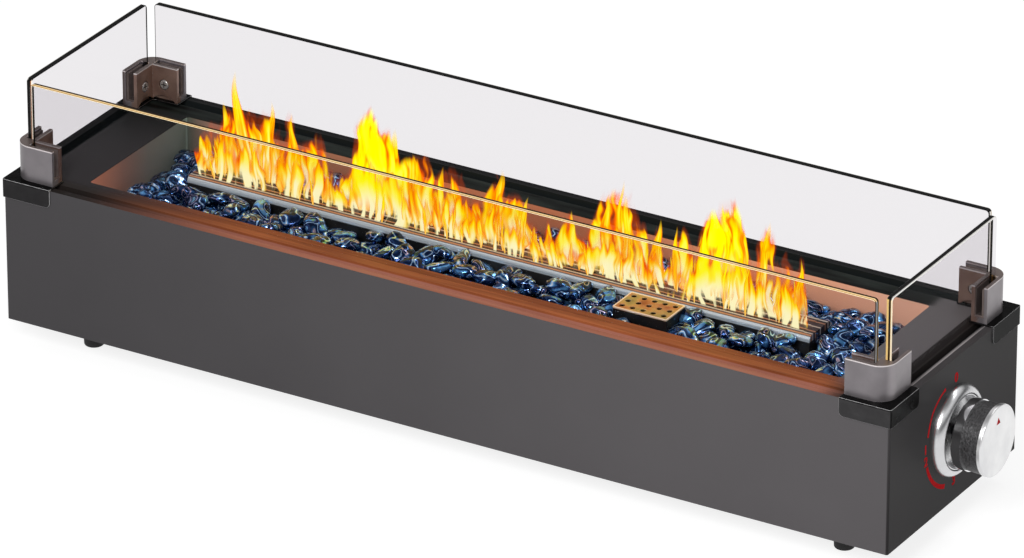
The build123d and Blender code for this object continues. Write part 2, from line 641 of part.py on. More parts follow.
def valve_spring():
    """Coil spring that returns the plunger."""
    length = PLUNGER_DISC[0] - CHAMBER[0] - 2 * (SPRING_WIRE + SPRING_GAP)
    coil = Helix(pitch=SPRING_PITCH, height=length, radius=SPRING_RADIUS)
    wire = sweep(Plane(origin=coil @ 0, z_dir=coil % 0) * Circle(SPRING_WIRE), path=coil, is_frenet=True)
    return Pos(CHAMBER[0] + SPRING_WIRE + SPRING_GAP, 0, KNOB_Z) * Rot(0, 90, 0) * wire


def burner_pipe():
    """Pipe from the valve's side up and round to the jet."""
    out_y, out_x = VALVE_HALF_Y + PIPE_PAST_VALVE, JET_END + PIPE_PAST_JET
    points = [
        (JET_END, 0, MIXER_Z),
        (out_x, 0, MIXER_Z),
        (out_x, out_y, MIXER_Z),
        (out_x, out_y, KNOB_Z),
        (PIPE_VALVE_X, out_y, KNOB_Z),
        (PIPE_VALVE_X, VALVE_HALF_Y, KNOB_Z),
    ]
    return bent_rod(points, PIPE_RADIUS, PIPE_BEND)


def inlet_pipe():
    """Straight pipe from the inlet fitting to the valve."""
    return rod_y(PIPE_RADIUS, INLET_X, (VALVE_HALF_Y, HALF_Y - INLET_INSIDE), INLET_Z)


def pipe_nuts():
    """Flare nuts at both ends of the inlet pipe."""
    radius, length = FLARE_NUT
    nut = Rot(-90, 0, 0) * (hex_z(radius, (0, length)) - rod_z(PIPE_RADIUS, 0, 0, (-OVER, length + OVER)))
    return group([Pos(INLET_X, y, INLET_Z) * nut for y in (VALVE_HALF_Y, HALF_Y - INLET_INSIDE - length)])


def inlet_fitting():
    """Brass bulkhead fitting with a male thread for the gas hose."""
    body = rod_y(INLET_THREAD_RADIUS, INLET_X, (HALF_Y - INLET_INSIDE, HALF_Y + INLET_REACH), INLET_Z)
    collar = Rot(-90, 0, 0) * hex_z(NUT_RADIUS, (0, INLET_COLLAR))
    body += Pos(INLET_X, HALF_Y, INLET_Z) * collar
    body = chamfer(body.edges().sort_by(Axis.Y)[-1], INLET_CHAMFER)
    bore_y = (HALF_Y - INLET_INSIDE + OVER, HALF_Y + INLET_REACH + OVER)
    return body - rod_y(INLET_BORE, INLET_X, bore_y, INLET_Z)


def inlet_nut():
    """Lock nut behind the back panel."""
    depth = INLET_NUT_DEPTH
    nut = hex_z(NUT_RADIUS, (0, depth)) - rod_z(INLET_THREAD_RADIUS, 0, 0, (-OVER, depth + OVER))
    return Pos(INLET_X, HALF_Y - SHEET - depth, INLET_Z) * Rot(-90, 0, 0) * nut


# ---------------------------------------------------------------- igniter

def igniter_cover():
    """Perforated box that keeps the fire glass off the igniter."""
    outer = block(IGNITER, IGNITER_DEPTH, (WELL_FLOOR, IGNITER_TOP))
    outer = fillet(outer.edges().filter_by(Axis.Z), COVER_ROUND)
    inner_x = (IGNITER[0] + COVER_SHEET, IGNITER[1] - COVER_SHEET)
    inner_y = (IGNITER_DEPTH[0] + COVER_SHEET, IGNITER_DEPTH[1] - COVER_SHEET)
    inner = block(inner_x, inner_y, (WELL_FLOOR - OVER, IGNITER_TOP - COVER_SHEET))
    cover = outer - fillet(inner.edges().filter_by(Axis.Z), COVER_ROUND - COVER_SHEET)
    middle = Pos(sum(IGNITER) / 2, sum(IGNITER_DEPTH) / 2, IGNITER_TOP)
    holes = GridLocations(COVER_HOLE_PITCH, COVER_HOLE_PITCH, *COVER_HOLES)
    return cover - [middle * place * Cylinder(COVER_HOLE_RADIUS, 4 * COVER_SHEET) for place in holes]


def igniter_bracket():
    """Small plate on the tray floor that locates the electrode and the probe."""
    reach = IGNITER_PLATE_REACH
    x, y = (ELECTRODE_X - reach, PROBE_X + reach), (IGNITER_Y - reach, IGNITER_Y + reach)
    plate = block(x, y, (WELL_FLOOR, WELL_FLOOR + SHEET))
    hole = (WELL_FLOOR - OVER, WELL_FLOOR + 2 * SHEET)
    plate -= rod_z(SLEEVE_RADIUS, ELECTRODE_X, IGNITER_Y, hole)
    return plate - rod_z(PROBE_RADIUS, PROBE_X, IGNITER_Y, hole)


def electrode_insulator():
    """Ceramic sleeve round the spark electrode."""
    sleeve = rod_z(SLEEVE_RADIUS, ELECTRODE_X, IGNITER_Y, (TRAY_UNDERSIDE, SLEEVE_TOP))
    return sleeve - rod_z(PIN_RADIUS, ELECTRODE_X, IGNITER_Y, (TRAY_UNDERSIDE - OVER, SLEEVE_TOP + OVER))


def spark_electrode():
    """Steel pin bent over towards the burner's ports."""
    points = [
        (ELECTRODE_X, IGNITER_Y, TRAY_UNDERSIDE),
        (ELECTRODE_X, IGNITER_Y, PIN_TOP),
        (ELECTRODE_X, IGNITER_DEPTH[1] - PIN_GAP, PIN_TOP),
    ]
    return bent_rod(points, PIN_RADIUS, PIN_BEND)


def thermocouple_probe():
    """Flame-failure probe beside the electrode."""
    return rod_z(PROBE_RADIUS, PROBE_X, IGNITER_Y, (TRAY_UNDERSIDE, PROBE_TOP))


def lead(x, start_y, run_y, radius):
    """Wire from the valve, along under the tray and up into its igniter piece."""
    points = [
        (VALVE_LEFT, start_y, KNOB_Z),
        (VALVE_LEFT - LEAD_LEVEL_RUN, start_y, KNOB_Z),
        (VALVE_LEFT - LEAD_FALL_END, run_y, LEAD_Z),
        (x, run_y, LEAD_Z),
        (x, IGNITER_Y, LEAD_Z),
        (x, IGNITER_Y, TRAY_UNDERSIDE),
    ]
    return bent_rod(points, radius, list(LEAD_BENDS))


def lead_clips():
    """Two clips under the tray that carry the two leads."""
    clips = []
    y = (SPARK_RUN_Y - LEAD_CLIP_MARGIN, PROBE_RUN_Y + LEAD_CLIP_MARGIN)
    for middle in LEAD_CLIP_X:
        x = (middle - LEAD_CLIP_HALF_LENGTH, middle + LEAD_CLIP_HALF_LENGTH)
        through = (x[0] - OVER, x[1] + OVER)
        clip = block(x, y, (LEAD_Z - LEAD_CLIP_UNDER, TRAY_UNDERSIDE))
        clip -= rod_x(SPARK_LEAD_RADIUS, through, SPARK_RUN_Y, LEAD_Z)
        clips.append(clip - rod_x(PROBE_LEAD_RADIUS, through, PROBE_RUN_Y, LEAD_Z))
    return group(clips)


# ---------------------------------------------------------------- caps, clips and glass

def corner_cap(corner):
    """Folded cap over one corner of the lip: an L-shaped top under the clip, and two short skirts."""
    reach = (-CAP_SHEET, CAP_LENGTH)
    cap = corner_block(corner, reach, reach, (LIP_TOP - CAP_DROP, CAP_TOP))
    cap = fillet(nearest_upright(cap, corner, -CAP_SHEET), BODY_EDGE_RADIUS)
    inside = (0, CAP_LENGTH + OVER)
    cap -= corner_block(corner, inside, inside, (LIP_TOP - CAP_DROP - OVER, LIP_TOP))
    open_side = (CAP_ARM, CAP_LENGTH + OVER)
    opening = corner_block(corner, open_side, open_side, (LIP_TOP - OVER, CAP_TOP + OVER))
    cap -= fillet(nearest_upright(opening, corner, CAP_ARM), CAP_INNER_RADIUS)
    low_ends = [
        corner_point(corner, CAP_LENGTH, -CAP_SHEET / 2, LIP_TOP - CAP_DROP),
        corner_point(corner, -CAP_SHEET / 2, CAP_LENGTH, LIP_TOP - CAP_DROP),
    ]
    for axis, point in zip((Axis.Y, Axis.X), low_ends):
        cap = fillet(cap.edges().filter_by(axis).sort_by_distance(point)[0], CAP_CORNER_RADIUS)
    x, y, _ = corner_point(corner, CAP_SCREW_INSET, CAP_SCREW_INSET)
    return cap - rod_z(SCREW_BORE, x, y, (LIP_TOP - OVER, CAP_TOP + OVER))


def glass_clip(corner):
    """Cast clip: rounded outer wall, two glass slots, inner walls with screw pockets and wide low arches."""
    z = (CAP_TOP, CLIP_TOP)
    arm, depth = (CLIP_INSET, CLIP_INSET + CLIP_ARM), (CLIP_INSET, CLIP_BACK)
    clip = corner_block(corner, arm, depth, z) + corner_block(corner, depth, arm, z)
    clip = fillet(nearest_upright(clip, corner, CLIP_INSET), CLIP_CORNER_RADIUS)
    slot_run, slot_z = (SLOT_START, CLIP_INSET + CLIP_ARM + OVER), (SLOT_FLOOR, CLIP_TOP + OVER)
    clip -= corner_block(corner, slot_run, SLOT, slot_z)
    clip -= corner_block(corner, SLOT, slot_run, slot_z)
    x, y, _ = corner_point(corner, CLIP_MIDDLE, CLIP_MIDDLE)
    pocket_radius, pocket_depth = CLIP_POCKET
    cuts = (
        (ARCH_RADIUS, CAP_TOP + ARCH_RISE - ARCH_RADIUS, SLOT[1]),
        (CLIP_SCREW_HOLE, CLIP_SCREW_Z, SLOT[1]),
        (pocket_radius, CLIP_SCREW_Z, CLIP_BACK - pocket_depth),
    )
    for radius, height, start in cuts:
        wall_x = sorted(corner[0] * (HALF_X - inset) for inset in (start, CLIP_BACK + OVER))
        wall_y = sorted(corner[1] * (HALF_Y - inset) for inset in (start, CLIP_BACK + OVER))
        clip -= rod_x(radius, wall_x, y, height)
        clip -= rod_y(radius, x, wall_y, height)
    x, y, _ = corner_point(corner, CAP_SCREW_INSET, CAP_SCREW_INSET)
    return clip - rod_z(SCREW_BORE, x, y, (CAP_TOP - OVER, CAP_TOP + CAP_SCREW_REACH + OVER))


def clip_pads():
    """Silicone channels between the glass and the clips' slots, two at each corner."""
    pads = []
    run, end = (PAD_START, CLIP_INSET + CLIP_ARM - PAD_END_GAP), CLIP_INSET + CLIP_ARM
    for corner in CORNERS.values():
        for turned in (False, True):
            spans = [run, SLOT], [(PAD_START - OVER, end), GLASS]
            (u, v), (gu, gv) = [reversed(span) if turned else span for span in spans]
            channel = corner_block(corner, u, v, (SLOT_FLOOR, PAD_TOP))
            pads.append(channel - corner_block(corner, gu, gv, (GLASS_BOTTOM, PAD_TOP + OVER)))
    return group(pads)


def clip_screws():
    """Screws in the pockets of the clips' inner walls, which press on the pads."""
    seat = CLIP_BACK - CLIP_POCKET[1]
    screw = pan_screw(*CLIP_SCREW, seat - SLOT[1])
    screws = []
    for corner in CORNERS.values():
        x, y, z = corner_point(corner, CLIP_MIDDLE, seat, CLIP_SCREW_Z)
        screws.append(Pos(x, y, z) * Rot(90 * corner[1], 0, 0) * screw)
        x, y, z = corner_point(corner, seat, CLIP_MIDDLE, CLIP_SCREW_Z)
        screws.append(Pos(x, y, z) * Rot(0, -90 * corner[0], 0) * screw)
    return group(screws)


def cap_screws():
    """Screws from under the ledge, through the caps, into the clips."""
    shank = CAP_TOP + CAP_SCREW_REACH - (LEDGE_TOP - SHEET)
    screw = Rot(180, 0, 0) * pan_screw(*CAP_SCREW, SCREW_RADIUS, shank)
    return group([Pos(x, y, LEDGE_TOP - SHEET) * screw for x, y, _ in cap_screw_points()])


def glass_pane(side, along_x):
    """One toughened pane with rounded top corners and eased edges."""
    half_length = (HALF_X if along_x else HALF_Y) - GLASS_GAP
    face = (HALF_Y if along_x else HALF_X) - (GLASS[0] + GLASS[1]) / 2
    half_thick = (GLASS[1] - GLASS[0]) / 2
    across = (side * face - half_thick, side * face + half_thick)
    run = (-half_length, half_length)
    z = (GLASS_BOTTOM, GLASS_TOP)
    pane = block(run, across, z) if along_x else block(across, run, z)
    upright_ends = pane.edges().filter_by(Axis.Y if along_x else Axis.X).sort_by(Axis.Z)[-2:]
    pane = fillet(upright_ends, GLASS_CORNER_RADIUS)
    return chamfer(pane.faces().sort_by(Axis.Z)[-1].edges(), GLASS_EDGE)


# ---------------------------------------------------------------- knob

def knob_bezel():
    """Chromed dish behind the knob: flared outside, rolled lip, inner ring and flat floor."""
    wall = BEZEL_LIP_RADIUS - BEZEL_WALL
    rim, lip = (BEZEL_RIM, BEZEL_RADIUS), (BEZEL_DEPTH, BEZEL_LIP_RADIUS)
    bulge = (BEZEL_BULGE[0], BEZEL_RADIUS - BEZEL_BULGE[1])
    roll = (BEZEL_DEPTH - BEZEL_ROLL[0], BEZEL_LIP_RADIUS - BEZEL_ROLL[1])
    inner_edge = (BEZEL_DEPTH - BEZEL_RIM, wall)
    outline = [
        Line((0, BEZEL_HOLE), (0, BEZEL_RADIUS)),
        Line((0, BEZEL_RADIUS), rim),
        ThreePointArc(rim, bulge, lip),
        ThreePointArc(lip, roll, inner_edge),
        Line(inner_edge, (BEZEL_FLOOR, wall)),
        Line((BEZEL_FLOOR, wall), (BEZEL_FLOOR, BEZEL_HOLE)),
        Line((BEZEL_FLOOR, BEZEL_HOLE), (0, BEZEL_HOLE)),
    ]
    bezel = Pos(HALF_X, 0, KNOB_Z) * revolve(make_face(outline), Axis.X)
    ring_x = (HALF_X + BEZEL_FLOOR, HALF_X + BEZEL_RING_HEIGHT)
    ring_bore = rod_x(BEZEL_RING[0], (ring_x[0] - OVER, ring_x[1] + OVER), 0, KNOB_Z)
    bezel += rod_x(BEZEL_RING[1], ring_x, 0, KNOB_Z) - ring_bore
    holes = (HALF_X - OVER, HALF_X + BEZEL_FLOOR + OVER)
    return bezel - [rod_x(SCREW_BORE, holes, side * VALVE_SCREW_Y, KNOB_Z) for side in (-1, 1)]


def knob_base_ring():
    """Bright ring at the back of the knob."""
    front = KNOB_REAR + KNOB_RING_LENGTH
    outline = [
        (KNOB_REAR, KNOB_RING_BORE),
        (KNOB_REAR, KNOB_RING_RADIUS - KNOB_RING_CHAMFER),
        (KNOB_REAR + KNOB_RING_CHAMFER, KNOB_RING_RADIUS),
        (front, KNOB_RING_RADIUS),
        (front, KNOB_RING_BORE),
    ]
    return revolved(outline)


def knob_grip():
    """Textured black grip: an outer wall, a front web and the hub that fits the stem."""
    rear, front = KNOB_REAR + KNOB_RING_LENGTH, KNOB_GRIP_FRONT
    bore, web = STEM_RADIUS + HUB_FIT, front - KNOB_WEB
    outline = [
        (HUB_REAR, bore),
        (HUB_REAR, HUB_RADIUS),
        (web, HUB_RADIUS),
        (web, KNOB_RING_BORE),
        (rear, KNOB_RING_BORE),
        (rear, KNOB_GRIP_RADII[0]),
        (front, KNOB_GRIP_RADII[1]),
        (front, 0),
        (front - KNOB_CROWN, 0),
        (front - KNOB_CROWN, bore),
    ]
    return revolved(outline)


def knob_face():
    """Polished disc on the front of the knob."""
    disc = rod_x(KNOB_FACE_RADIUS, (HALF_X + KNOB_GRIP_FRONT, HALF_X + KNOB_REACH), 0, KNOB_Z)
    return fillet(disc.edges().sort_by(Axis.X)[-1], KNOB_FACE_ROUND)


def write_node(name, shape):
    """Shift one piece to the row frame and write it as parts/NAME.step."""
    moved = shape.moved(Location((-BOX_X, -BOX_Y, 0)))
    export_step(moved, f"parts/{name}.step")


def all_nodes():
    """Every piece of the fire pit by name."""
    nodes = {
        piece.__name__: piece()
        for piece in (
            housing_shell, bottom_plate, foot_screws, base_screws, fire_tray, fire_glass_bed,
            burner_bar, burner_end_plates, burner_brackets, burner_screws, burner_nuts,
            mixer_tube, mixer_nut, gas_jet, gas_valve_body, valve_screws, valve_plunger,
            valve_stem, valve_spring, burner_pipe, inlet_pipe, pipe_nuts, inlet_fitting,
            inlet_nut, igniter_cover, igniter_bracket, electrode_insulator, spark_electrode,
            thermocouple_probe, lead_clips, clip_pads, clip_screws, cap_screws, knob_bezel,
            knob_base_ring, knob_grip, knob_face,
        )
    }
    nodes["spark_lead"] = lead(ELECTRODE_X, -LEAD_SIDE, SPARK_RUN_Y, SPARK_LEAD_RADIUS)
    nodes["thermocouple_lead"] = lead(PROBE_X, LEAD_SIDE, PROBE_RUN_Y, PROBE_LEAD_RADIUS)
    for place, corner in CORNERS.items():
        nodes[f"foot_{place}"] = foot(corner)
        nodes[f"corner_cap_{place}"] = corner_cap(corner)
        nodes[f"glass_clip_{place}"] = glass_clip(corner)
    for place, side in (("front", -1), ("back", 1)):
        nodes[f"glass_{place}"] = glass_pane(side, along_x=True)
    for place, side in (("left", -1), ("right", 1)):
        nodes[f"glass_{place}"] = glass_pane(side, along_x=False)
    return nodes


os.makedirs("parts", exist_ok=True)
for node_name, node_shape in all_nodes().items():
    write_node(node_name, node_shape)
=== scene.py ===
import math

import bmesh
import bpy
import numpy as np
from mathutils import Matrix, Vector


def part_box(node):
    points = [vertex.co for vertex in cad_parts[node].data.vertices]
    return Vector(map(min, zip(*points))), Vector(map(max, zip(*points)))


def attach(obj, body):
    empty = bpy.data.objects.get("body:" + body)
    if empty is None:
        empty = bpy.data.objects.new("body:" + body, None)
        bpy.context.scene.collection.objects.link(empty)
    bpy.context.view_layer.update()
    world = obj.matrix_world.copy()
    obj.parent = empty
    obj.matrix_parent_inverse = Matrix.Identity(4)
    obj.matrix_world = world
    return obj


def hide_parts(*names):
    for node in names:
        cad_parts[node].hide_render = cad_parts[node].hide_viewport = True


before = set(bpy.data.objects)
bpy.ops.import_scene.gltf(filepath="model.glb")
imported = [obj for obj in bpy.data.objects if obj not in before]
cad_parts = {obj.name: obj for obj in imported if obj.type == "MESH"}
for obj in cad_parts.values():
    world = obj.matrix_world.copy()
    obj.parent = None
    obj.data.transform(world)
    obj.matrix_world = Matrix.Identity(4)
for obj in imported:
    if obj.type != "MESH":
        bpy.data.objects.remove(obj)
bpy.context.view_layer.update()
MM = 0.001


# ---- Studio: a pale floor, a plain grey sky, two soft boxes and the camera. The floor and sky are white to
# the lens and through glass, but the floor keeps a shadow. Metal mirrors a sky of pale and dark bands.

AIM = Vector((-8.4, -10.0, 105.5)) * MM
AZIMUTH, ELEVATION = math.radians(30.644), math.radians(25.963)
DISTANCE = 6.0947
FOCAL_LENGTH, SENSOR_WIDTH = 307.86, 36.0
FLOOR_SIZE = 60.0
FLOOR_GREY, FLOOR_LIFT = (0.3, 0.3, 0.3, 1), 0.84
SKY_GREY = (0.3, 0.3, 0.3, 1)
SKY_BANDS = {0: "ffffff", 0.12: "e8e8e8", 0.2: "505052", 0.4: "343436", 0.5: "d8d8d8",
             0.75: "ffffff", 0.95: "808080"}


class Value:
    """A shader node's output: a number, colour or shader. Arithmetic on it adds Math nodes."""

    def __init__(self, tree, socket):
        self.tree = tree
        self.socket = socket

    def math(self, operation, other=0.0):
        return add(self.tree, "Math", {0: self, 1: other}, operation=operation)

    def __add__(self, other):
        return self.math("ADD", other)

    def __sub__(self, other):
        return self.math("SUBTRACT", other)

    def __rsub__(self, number):
        return add(self.tree, "Math", {0: number, 1: self}, operation="SUBTRACT")

    def __mul__(self, other):
        return self.math("MULTIPLY", other)

    def __truediv__(self, number):
        return self.math("DIVIDE", number)

    def __pow__(self, power):
        return self.math("POWER", power)

    def __abs__(self):
        return self.math("ABSOLUTE")


def add(tree, kind, inputs=None, output=0, **attributes):
    """One node's output: its attributes are set first, then each input is linked or given a plain number."""
    made = tree.nodes.new("ShaderNode" + kind)
    for name, value in attributes.items():
        setattr(made, name, value)
    for name, value in (inputs or {}).items():
        if isinstance(value, Value):
            tree.links.new(value.socket, made.inputs[name])
        else:
            made.inputs[name].default_value = value
    return Value(tree, made.outputs[output])


def highest(first, *others):
    """The greatest of several values."""
    for other in others:
        first = first.math("MAXIMUM", other)
    return first


def parts(vector):
    """The X, Y and Z of a vector."""
    outputs = add(vector.tree, "SeparateXYZ", {0: vector}).socket.node.outputs
    return [Value(vector.tree, output) for output in outputs]


def hex_colour(code):
    """Linear RGBA of a colour written as six hexadecimal digits."""
    share = np.array([int(code[i:i + 2], 16) for i in (0, 2, 4)]) / 255
    linear = np.where(share < 0.04045, share / 12.92, ((share + 0.055) / 1.055) ** 2.4)
    return (*linear.tolist(), 1.0)


def blend(factor, first, second):
    """Two colours blended by a factor, each a value, a hexadecimal code or four numbers."""
    first, second = [hex_colour(side) if isinstance(side, str) else side for side in (first, second)]
    return add(factor.tree, "MixRGB", {"Fac": factor, "Color1": first, "Color2": second})


def ramp(factor, stops):
    """Colours blended along a factor: stops give a hexadecimal colour for each place from 0 to 1."""
    made = add(factor.tree, "ValToRGB", {"Fac": factor})
    elements = made.socket.node.color_ramp.elements
    while len(elements) < len(stops):
        elements.new(0.5)
    for element, (place, code) in zip(elements, stops.items()):
        element.position = place
        element.color = hex_colour(code)
    return made


def rays(tree, *kinds):
    """1 for the rays of the given kinds: Camera, Glossy or Transmission."""
    return highest(*[add(tree, "LightPath", output=f"Is {kind} Ray") for kind in kinds])


def empty_tree(owner):
    """The node tree of a material or world, cleared."""
    owner.use_nodes = True
    owner.node_tree.nodes.clear()
    return owner.node_tree


def show(shader, kind="Material"):
    """Makes a shader what its material or world shows."""
    output = shader.tree.nodes.new("ShaderNodeOutput" + kind)
    shader.tree.links.new(shader.socket, output.inputs["Surface"])


def put_in_scene(name, data):
    """A new object of a mesh, lamp or camera."""
    made = bpy.data.objects.new(name, data)
    bpy.context.scene.collection.objects.link(made)
    return made


def surface_piece(name, points, faces):
    """A piece in the scene from points and faces."""
    mesh = bpy.data.meshes.new(name)
    mesh.from_pydata(points.reshape(-1, 3), [], faces)
    return put_in_scene(name, mesh)


def pale_floor():
    """A flat square whose diffuse grey is lifted to white for the lens, mirrors and glass."""
    corners = np.array([(-1, -1, 0), (1, -1, 0), (1, 1, 0), (-1, 1, 0)]) * FLOOR_SIZE / 2
    floor = surface_piece("floor", corners, [(0, 1, 2, 3)])
    finish = bpy.data.materials.new("floor_paper")
    tree = empty_tree(finish)
    paper = add(tree, "BsdfDiffuse", {"Color": FLOOR_GREY})
    seen = rays(tree, "Camera", "Glossy", "Transmission")
    glow = add(tree, "Emission", {"Strength": seen * FLOOR_LIFT})
    show(add(tree, "AddShader", {0: paper, 1: glow}))
    floor.data.materials.append(finish)


def soft_sky():
    """World light: plain grey on the object, white to the lens and through glass, and bands in metal."""
    world = bpy.data.worlds.new("studio")
    bpy.context.scene.world = world
    tree = empty_tree(world)
    height = parts(add(tree, "TexCoord", output="Generated"))[2]
    lit = blend(rays(tree, "Glossy"), SKY_GREY, ramp(height, SKY_BANDS))
    colour = blend(rays(tree, "Camera", "Transmission"), lit, "ffffff")
    show(add(tree, "Background", {"Color": colour}), "World")


def soft_box(name, place, width, height, watts):
    """A rectangular area lamp that faces the fire pit."""
    lamp = bpy.data.lights.new(name, "AREA")
    lamp.shape = "RECTANGLE"
    lamp.size = width
    lamp.size_y = height
    lamp.energy = watts
    box = put_in_scene(name, lamp)
    box.location = place
    box.rotation_euler = (AIM - box.location).to_track_quat("-Z", "Y").to_euler()


def long_lens():
    """The camera, far off with a long lens, looking down on the front right corner."""
    back = Vector((
        math.sin(AZIMUTH) * math.cos(ELEVATION),
        -math.cos(AZIMUTH) * math.cos(ELEVATION),
        math.sin(ELEVATION),
    ))
    lens = bpy.data.cameras.new("camera")
    lens.lens = FOCAL_LENGTH
    lens.sensor_width = SENSOR_WIDTH
    camera = put_in_scene("camera", lens)
    camera.location = AIM + back * DISTANCE
    camera.rotation_euler = back.to_track_quat("Z", "Y").to_euler()
    bpy.context.scene.camera = camera


pale_floor()
soft_sky()
soft_box("key_box", (0.3, -1.5, 1.25), 1.0, 0.6, 26.0)
soft_box("top_strip", (0.6, 1.4, 2.4), 2.2, 0.25, 12.0)
long_lens()
bpy.context.scene.view_settings.view_transform = "Standard"
bpy.context.scene.cycles.transparent_max_bounces = 64


# ---- Housing: folded steel in a satin dark grey powder coat, with a fine orange-peel texture.
# Along the front its lip and groove carry the fire's light painted in copper, fading out towards both
# corners. Painted light pales the coat towards the right, and painted shade darkens its end panel, lip and
# groove.

SHELL_LOW, SHELL_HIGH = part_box("housing_shell")
MIDDLE_X, MIDDLE_Y, _ = (SHELL_LOW + SHELL_HIGH) / 2
HALF_X, HALF_Y, _ = (SHELL_HIGH - SHELL_LOW) / 2
# In millimetres: the widths of the lip and groove, how deep their walls go, and the front band's width.
LIP, GROOVE, GROOVE_WALLS, FIRE_BAND = 6, 8, 9, 26
GLOW_START, GLOW_FULL = SHELL_LOW.x + 55 * MM, SHELL_LOW.x + 205 * MM


def new_finish(name, **plain):
    """A material with one Principled shader, that shader, and the piece's own coordinates in metres.
    Plain sockets are set by name, with _ for a space."""
    finish = bpy.data.materials.new(name)
    finish.use_nodes = True
    shader = finish.node_tree.nodes["Principled BSDF"]
    for socket, value in plain.items():
        shader.inputs[socket.replace("_", " ")].default_value = value
    return finish, shader, add(finish.node_tree, "TexCoord", output="Object")


def link(shader, **values):
    """Links values to a shader's sockets, which are named with _ for a space."""
    for socket, value in values.items():
        value.tree.links.new(value.socket, shader.inputs[socket.replace("_", " ")])


def between(value, low, high):
    """0 below low, 1 above high and a smooth rise between; low may be the larger, for a fall."""
    span = {"Value": value, "From Min": low, "From Max": high}
    return add(value.tree, "MapRange", span, interpolation_type="SMOOTHSTEP")


def near(value, edge, start, end):
    """0 to 1 between two places, each given in millimetres past an edge."""
    return between(value, edge + start * MM, edge + end * MM)


def inset(x, y, start, end):
    """1 further inside the housing's outline than end, and 0 nearer to it than start, in millimetres."""
    return near(abs(x - MIDDLE_X), HALF_X, -start, -end) * near(abs(y - MIDDLE_Y), HALF_Y, -start, -end)


def stretched(coords, *scale):
    """Coordinates scaled by three factors, so that a pattern on them is drawn out along the smallest."""
    return add(coords.tree, "Mapping", {"Vector": coords, "Scale": scale})


def noise(coords, scale, detail=3.0, distortion=0.0):
    """Noise from 0 to 1 of a size given as its scale per metre."""
    inputs = {"Vector": coords, "Scale": scale, "Detail": detail, "Distortion": distortion}
    return add(coords.tree, "TexNoise", inputs, "Fac")


def wander(factor, low, high, places=(0.3, 0.7)):
    """Two colours and the blend between them, over the factor's two places."""
    return ramp(factor, dict(zip(places, (low, high))))


def bump(shader, height, distance):
    """Raises the surface by height times distance in metres, in its shading only."""
    link(shader, Normal=add(height.tree, "Bump", {"Height": height, "Distance": distance}))


def dress(names, finish):
    """Gives CAD nodes a finish in place of their plain one."""
    for name in names:
        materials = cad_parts[name].data.materials
        materials.clear()
        materials.append(finish)


def powder_coat():
    """Grey coat painted paler along the length as light falls, with painted shade on the end panel, darker
    low down, and on the lip and the groove, painted light that makes the groove pale at the right end, the
    fire's light painted in copper along the front, and orange peel in the bump."""
    finish, shader, coords = new_finish("powder_coat", Roughness=0.45, Specular_IOR_Level=0.08)
    x, y, z = parts(coords)
    mottle = noise(coords, 9.0, 4.0)
    # Painted light: the coat pales from left to right.
    left, right = wander(mottle, "4e4c4e", "525052"), wander(mottle, "605d5f", "646163")
    grey = blend(between(x, SHELL_LOW.x, SHELL_HIGH.x), left, right)
    # Painted shade on the end panel, darker towards the bottom.
    panel = blend(between(z, SHELL_LOW.z, SHELL_HIGH.z), "302e2f", "454344")
    grey = blend(near(x, SHELL_HIGH.x, -2, -1), grey, panel)
    # Painted shade in the groove, and painted light that makes it pale at the right end.
    groove = inset(x, y, LIP - 0.6, LIP - 0.3)
    at_right = near(x, SHELL_HIGH.x, -LIP - GROOVE, 2 - LIP - GROOVE)
    grey = blend(groove, grey, blend(at_right, "1c2021", "a8a2a2"))
    walls = near(z, SHELL_HIGH.z, -GROOVE_WALLS, 0.5 - GROOVE_WALLS)
    top = near(z, SHELL_HIGH.z, -1.2, -0.6)
    lip = highest(top, inset(x, y, 0.2, 0.6) * walls)
    at_back = near(y, SHELL_HIGH.y, -12, -11)
    at_left = near(x, SHELL_LOW.x, 12, 11)
    # Painted shade on the lip at the back, the left and the right, lighter at the right end.
    shaded_lip = (1.0 - groove) * lip * highest(at_right, at_back, at_left)
    grey = blend(shaded_lip, grey, blend(at_right, "151516", "423f40"))
    # Painted shade on the front lip and groove, under the painted firelight.
    band = near(y, SHELL_LOW.y, FIRE_BAND, FIRE_BAND - 2) * near(y, SHELL_LOW.y, 0.2, 0.8) * walls
    grey = blend(band, grey, "231f1d")
    # The fire's light painted in copper along the front lip and groove.
    streak = noise(stretched(coords, 12.0, 260.0, 90.0), 1.0)
    copper = wander(streak, "985e4c", "ac705e", (0.3, 0.75))
    firelight_share = band * between(x, GLOW_START, GLOW_FULL) * near(x, SHELL_HIGH.x, -35, -60)
    link(shader, Base_Color=blend(firelight_share, grey, copper))
    bump(shader, noise(coords, 900.0, 2.0), 0.04 * MM)
    return finish


dress(["housing_shell", "bottom_plate"], powder_coat())


# ---- Fire tray: pressed steel in a satin heat-resistant coat. The fire's light is painted on it in copper on the
# front strip and on the inside walls; painted light keeps its end decks dark on the left and grey on the
# right.

TRAY_LOW, TRAY_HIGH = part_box("fire_tray")
WELL_X, WELL_Y = 302 * MM, 64.3 * MM
WELL_LEFT, WELL_RIGHT = MIDDLE_X - WELL_X, MIDDLE_X + WELL_X
WELL_FRONT, WELL_BACK = MIDDLE_Y - WELL_Y, MIDDLE_Y + WELL_Y
# Painted firelight on the well's walls: the left end wall's colours run front to back, the others' left to
# right.
END_WALL_FIRELIGHT = {0: "eca08a", 0.12: "d4937a", 0.34: "a68173", 0.6: "89867c", 1: "7c8b84"}
BACK_WALL_FIRELIGHT = {0: "505a52", 0.03: "98786a", 0.12: "9c7462", 0.3: "a86e58", 0.6: "b87458",
             0.9: "e4aa90", 1: "ecb89e"}


def scaled(value, start, end, low=0.0, high=1.0):
    """Runs straight from low to high as a value goes from start to end, and stays level outside."""
    span = {"Value": value, "From Min": start, "From Max": end, "To Min": low, "To Max": high}
    return add(value.tree, "MapRange", span)


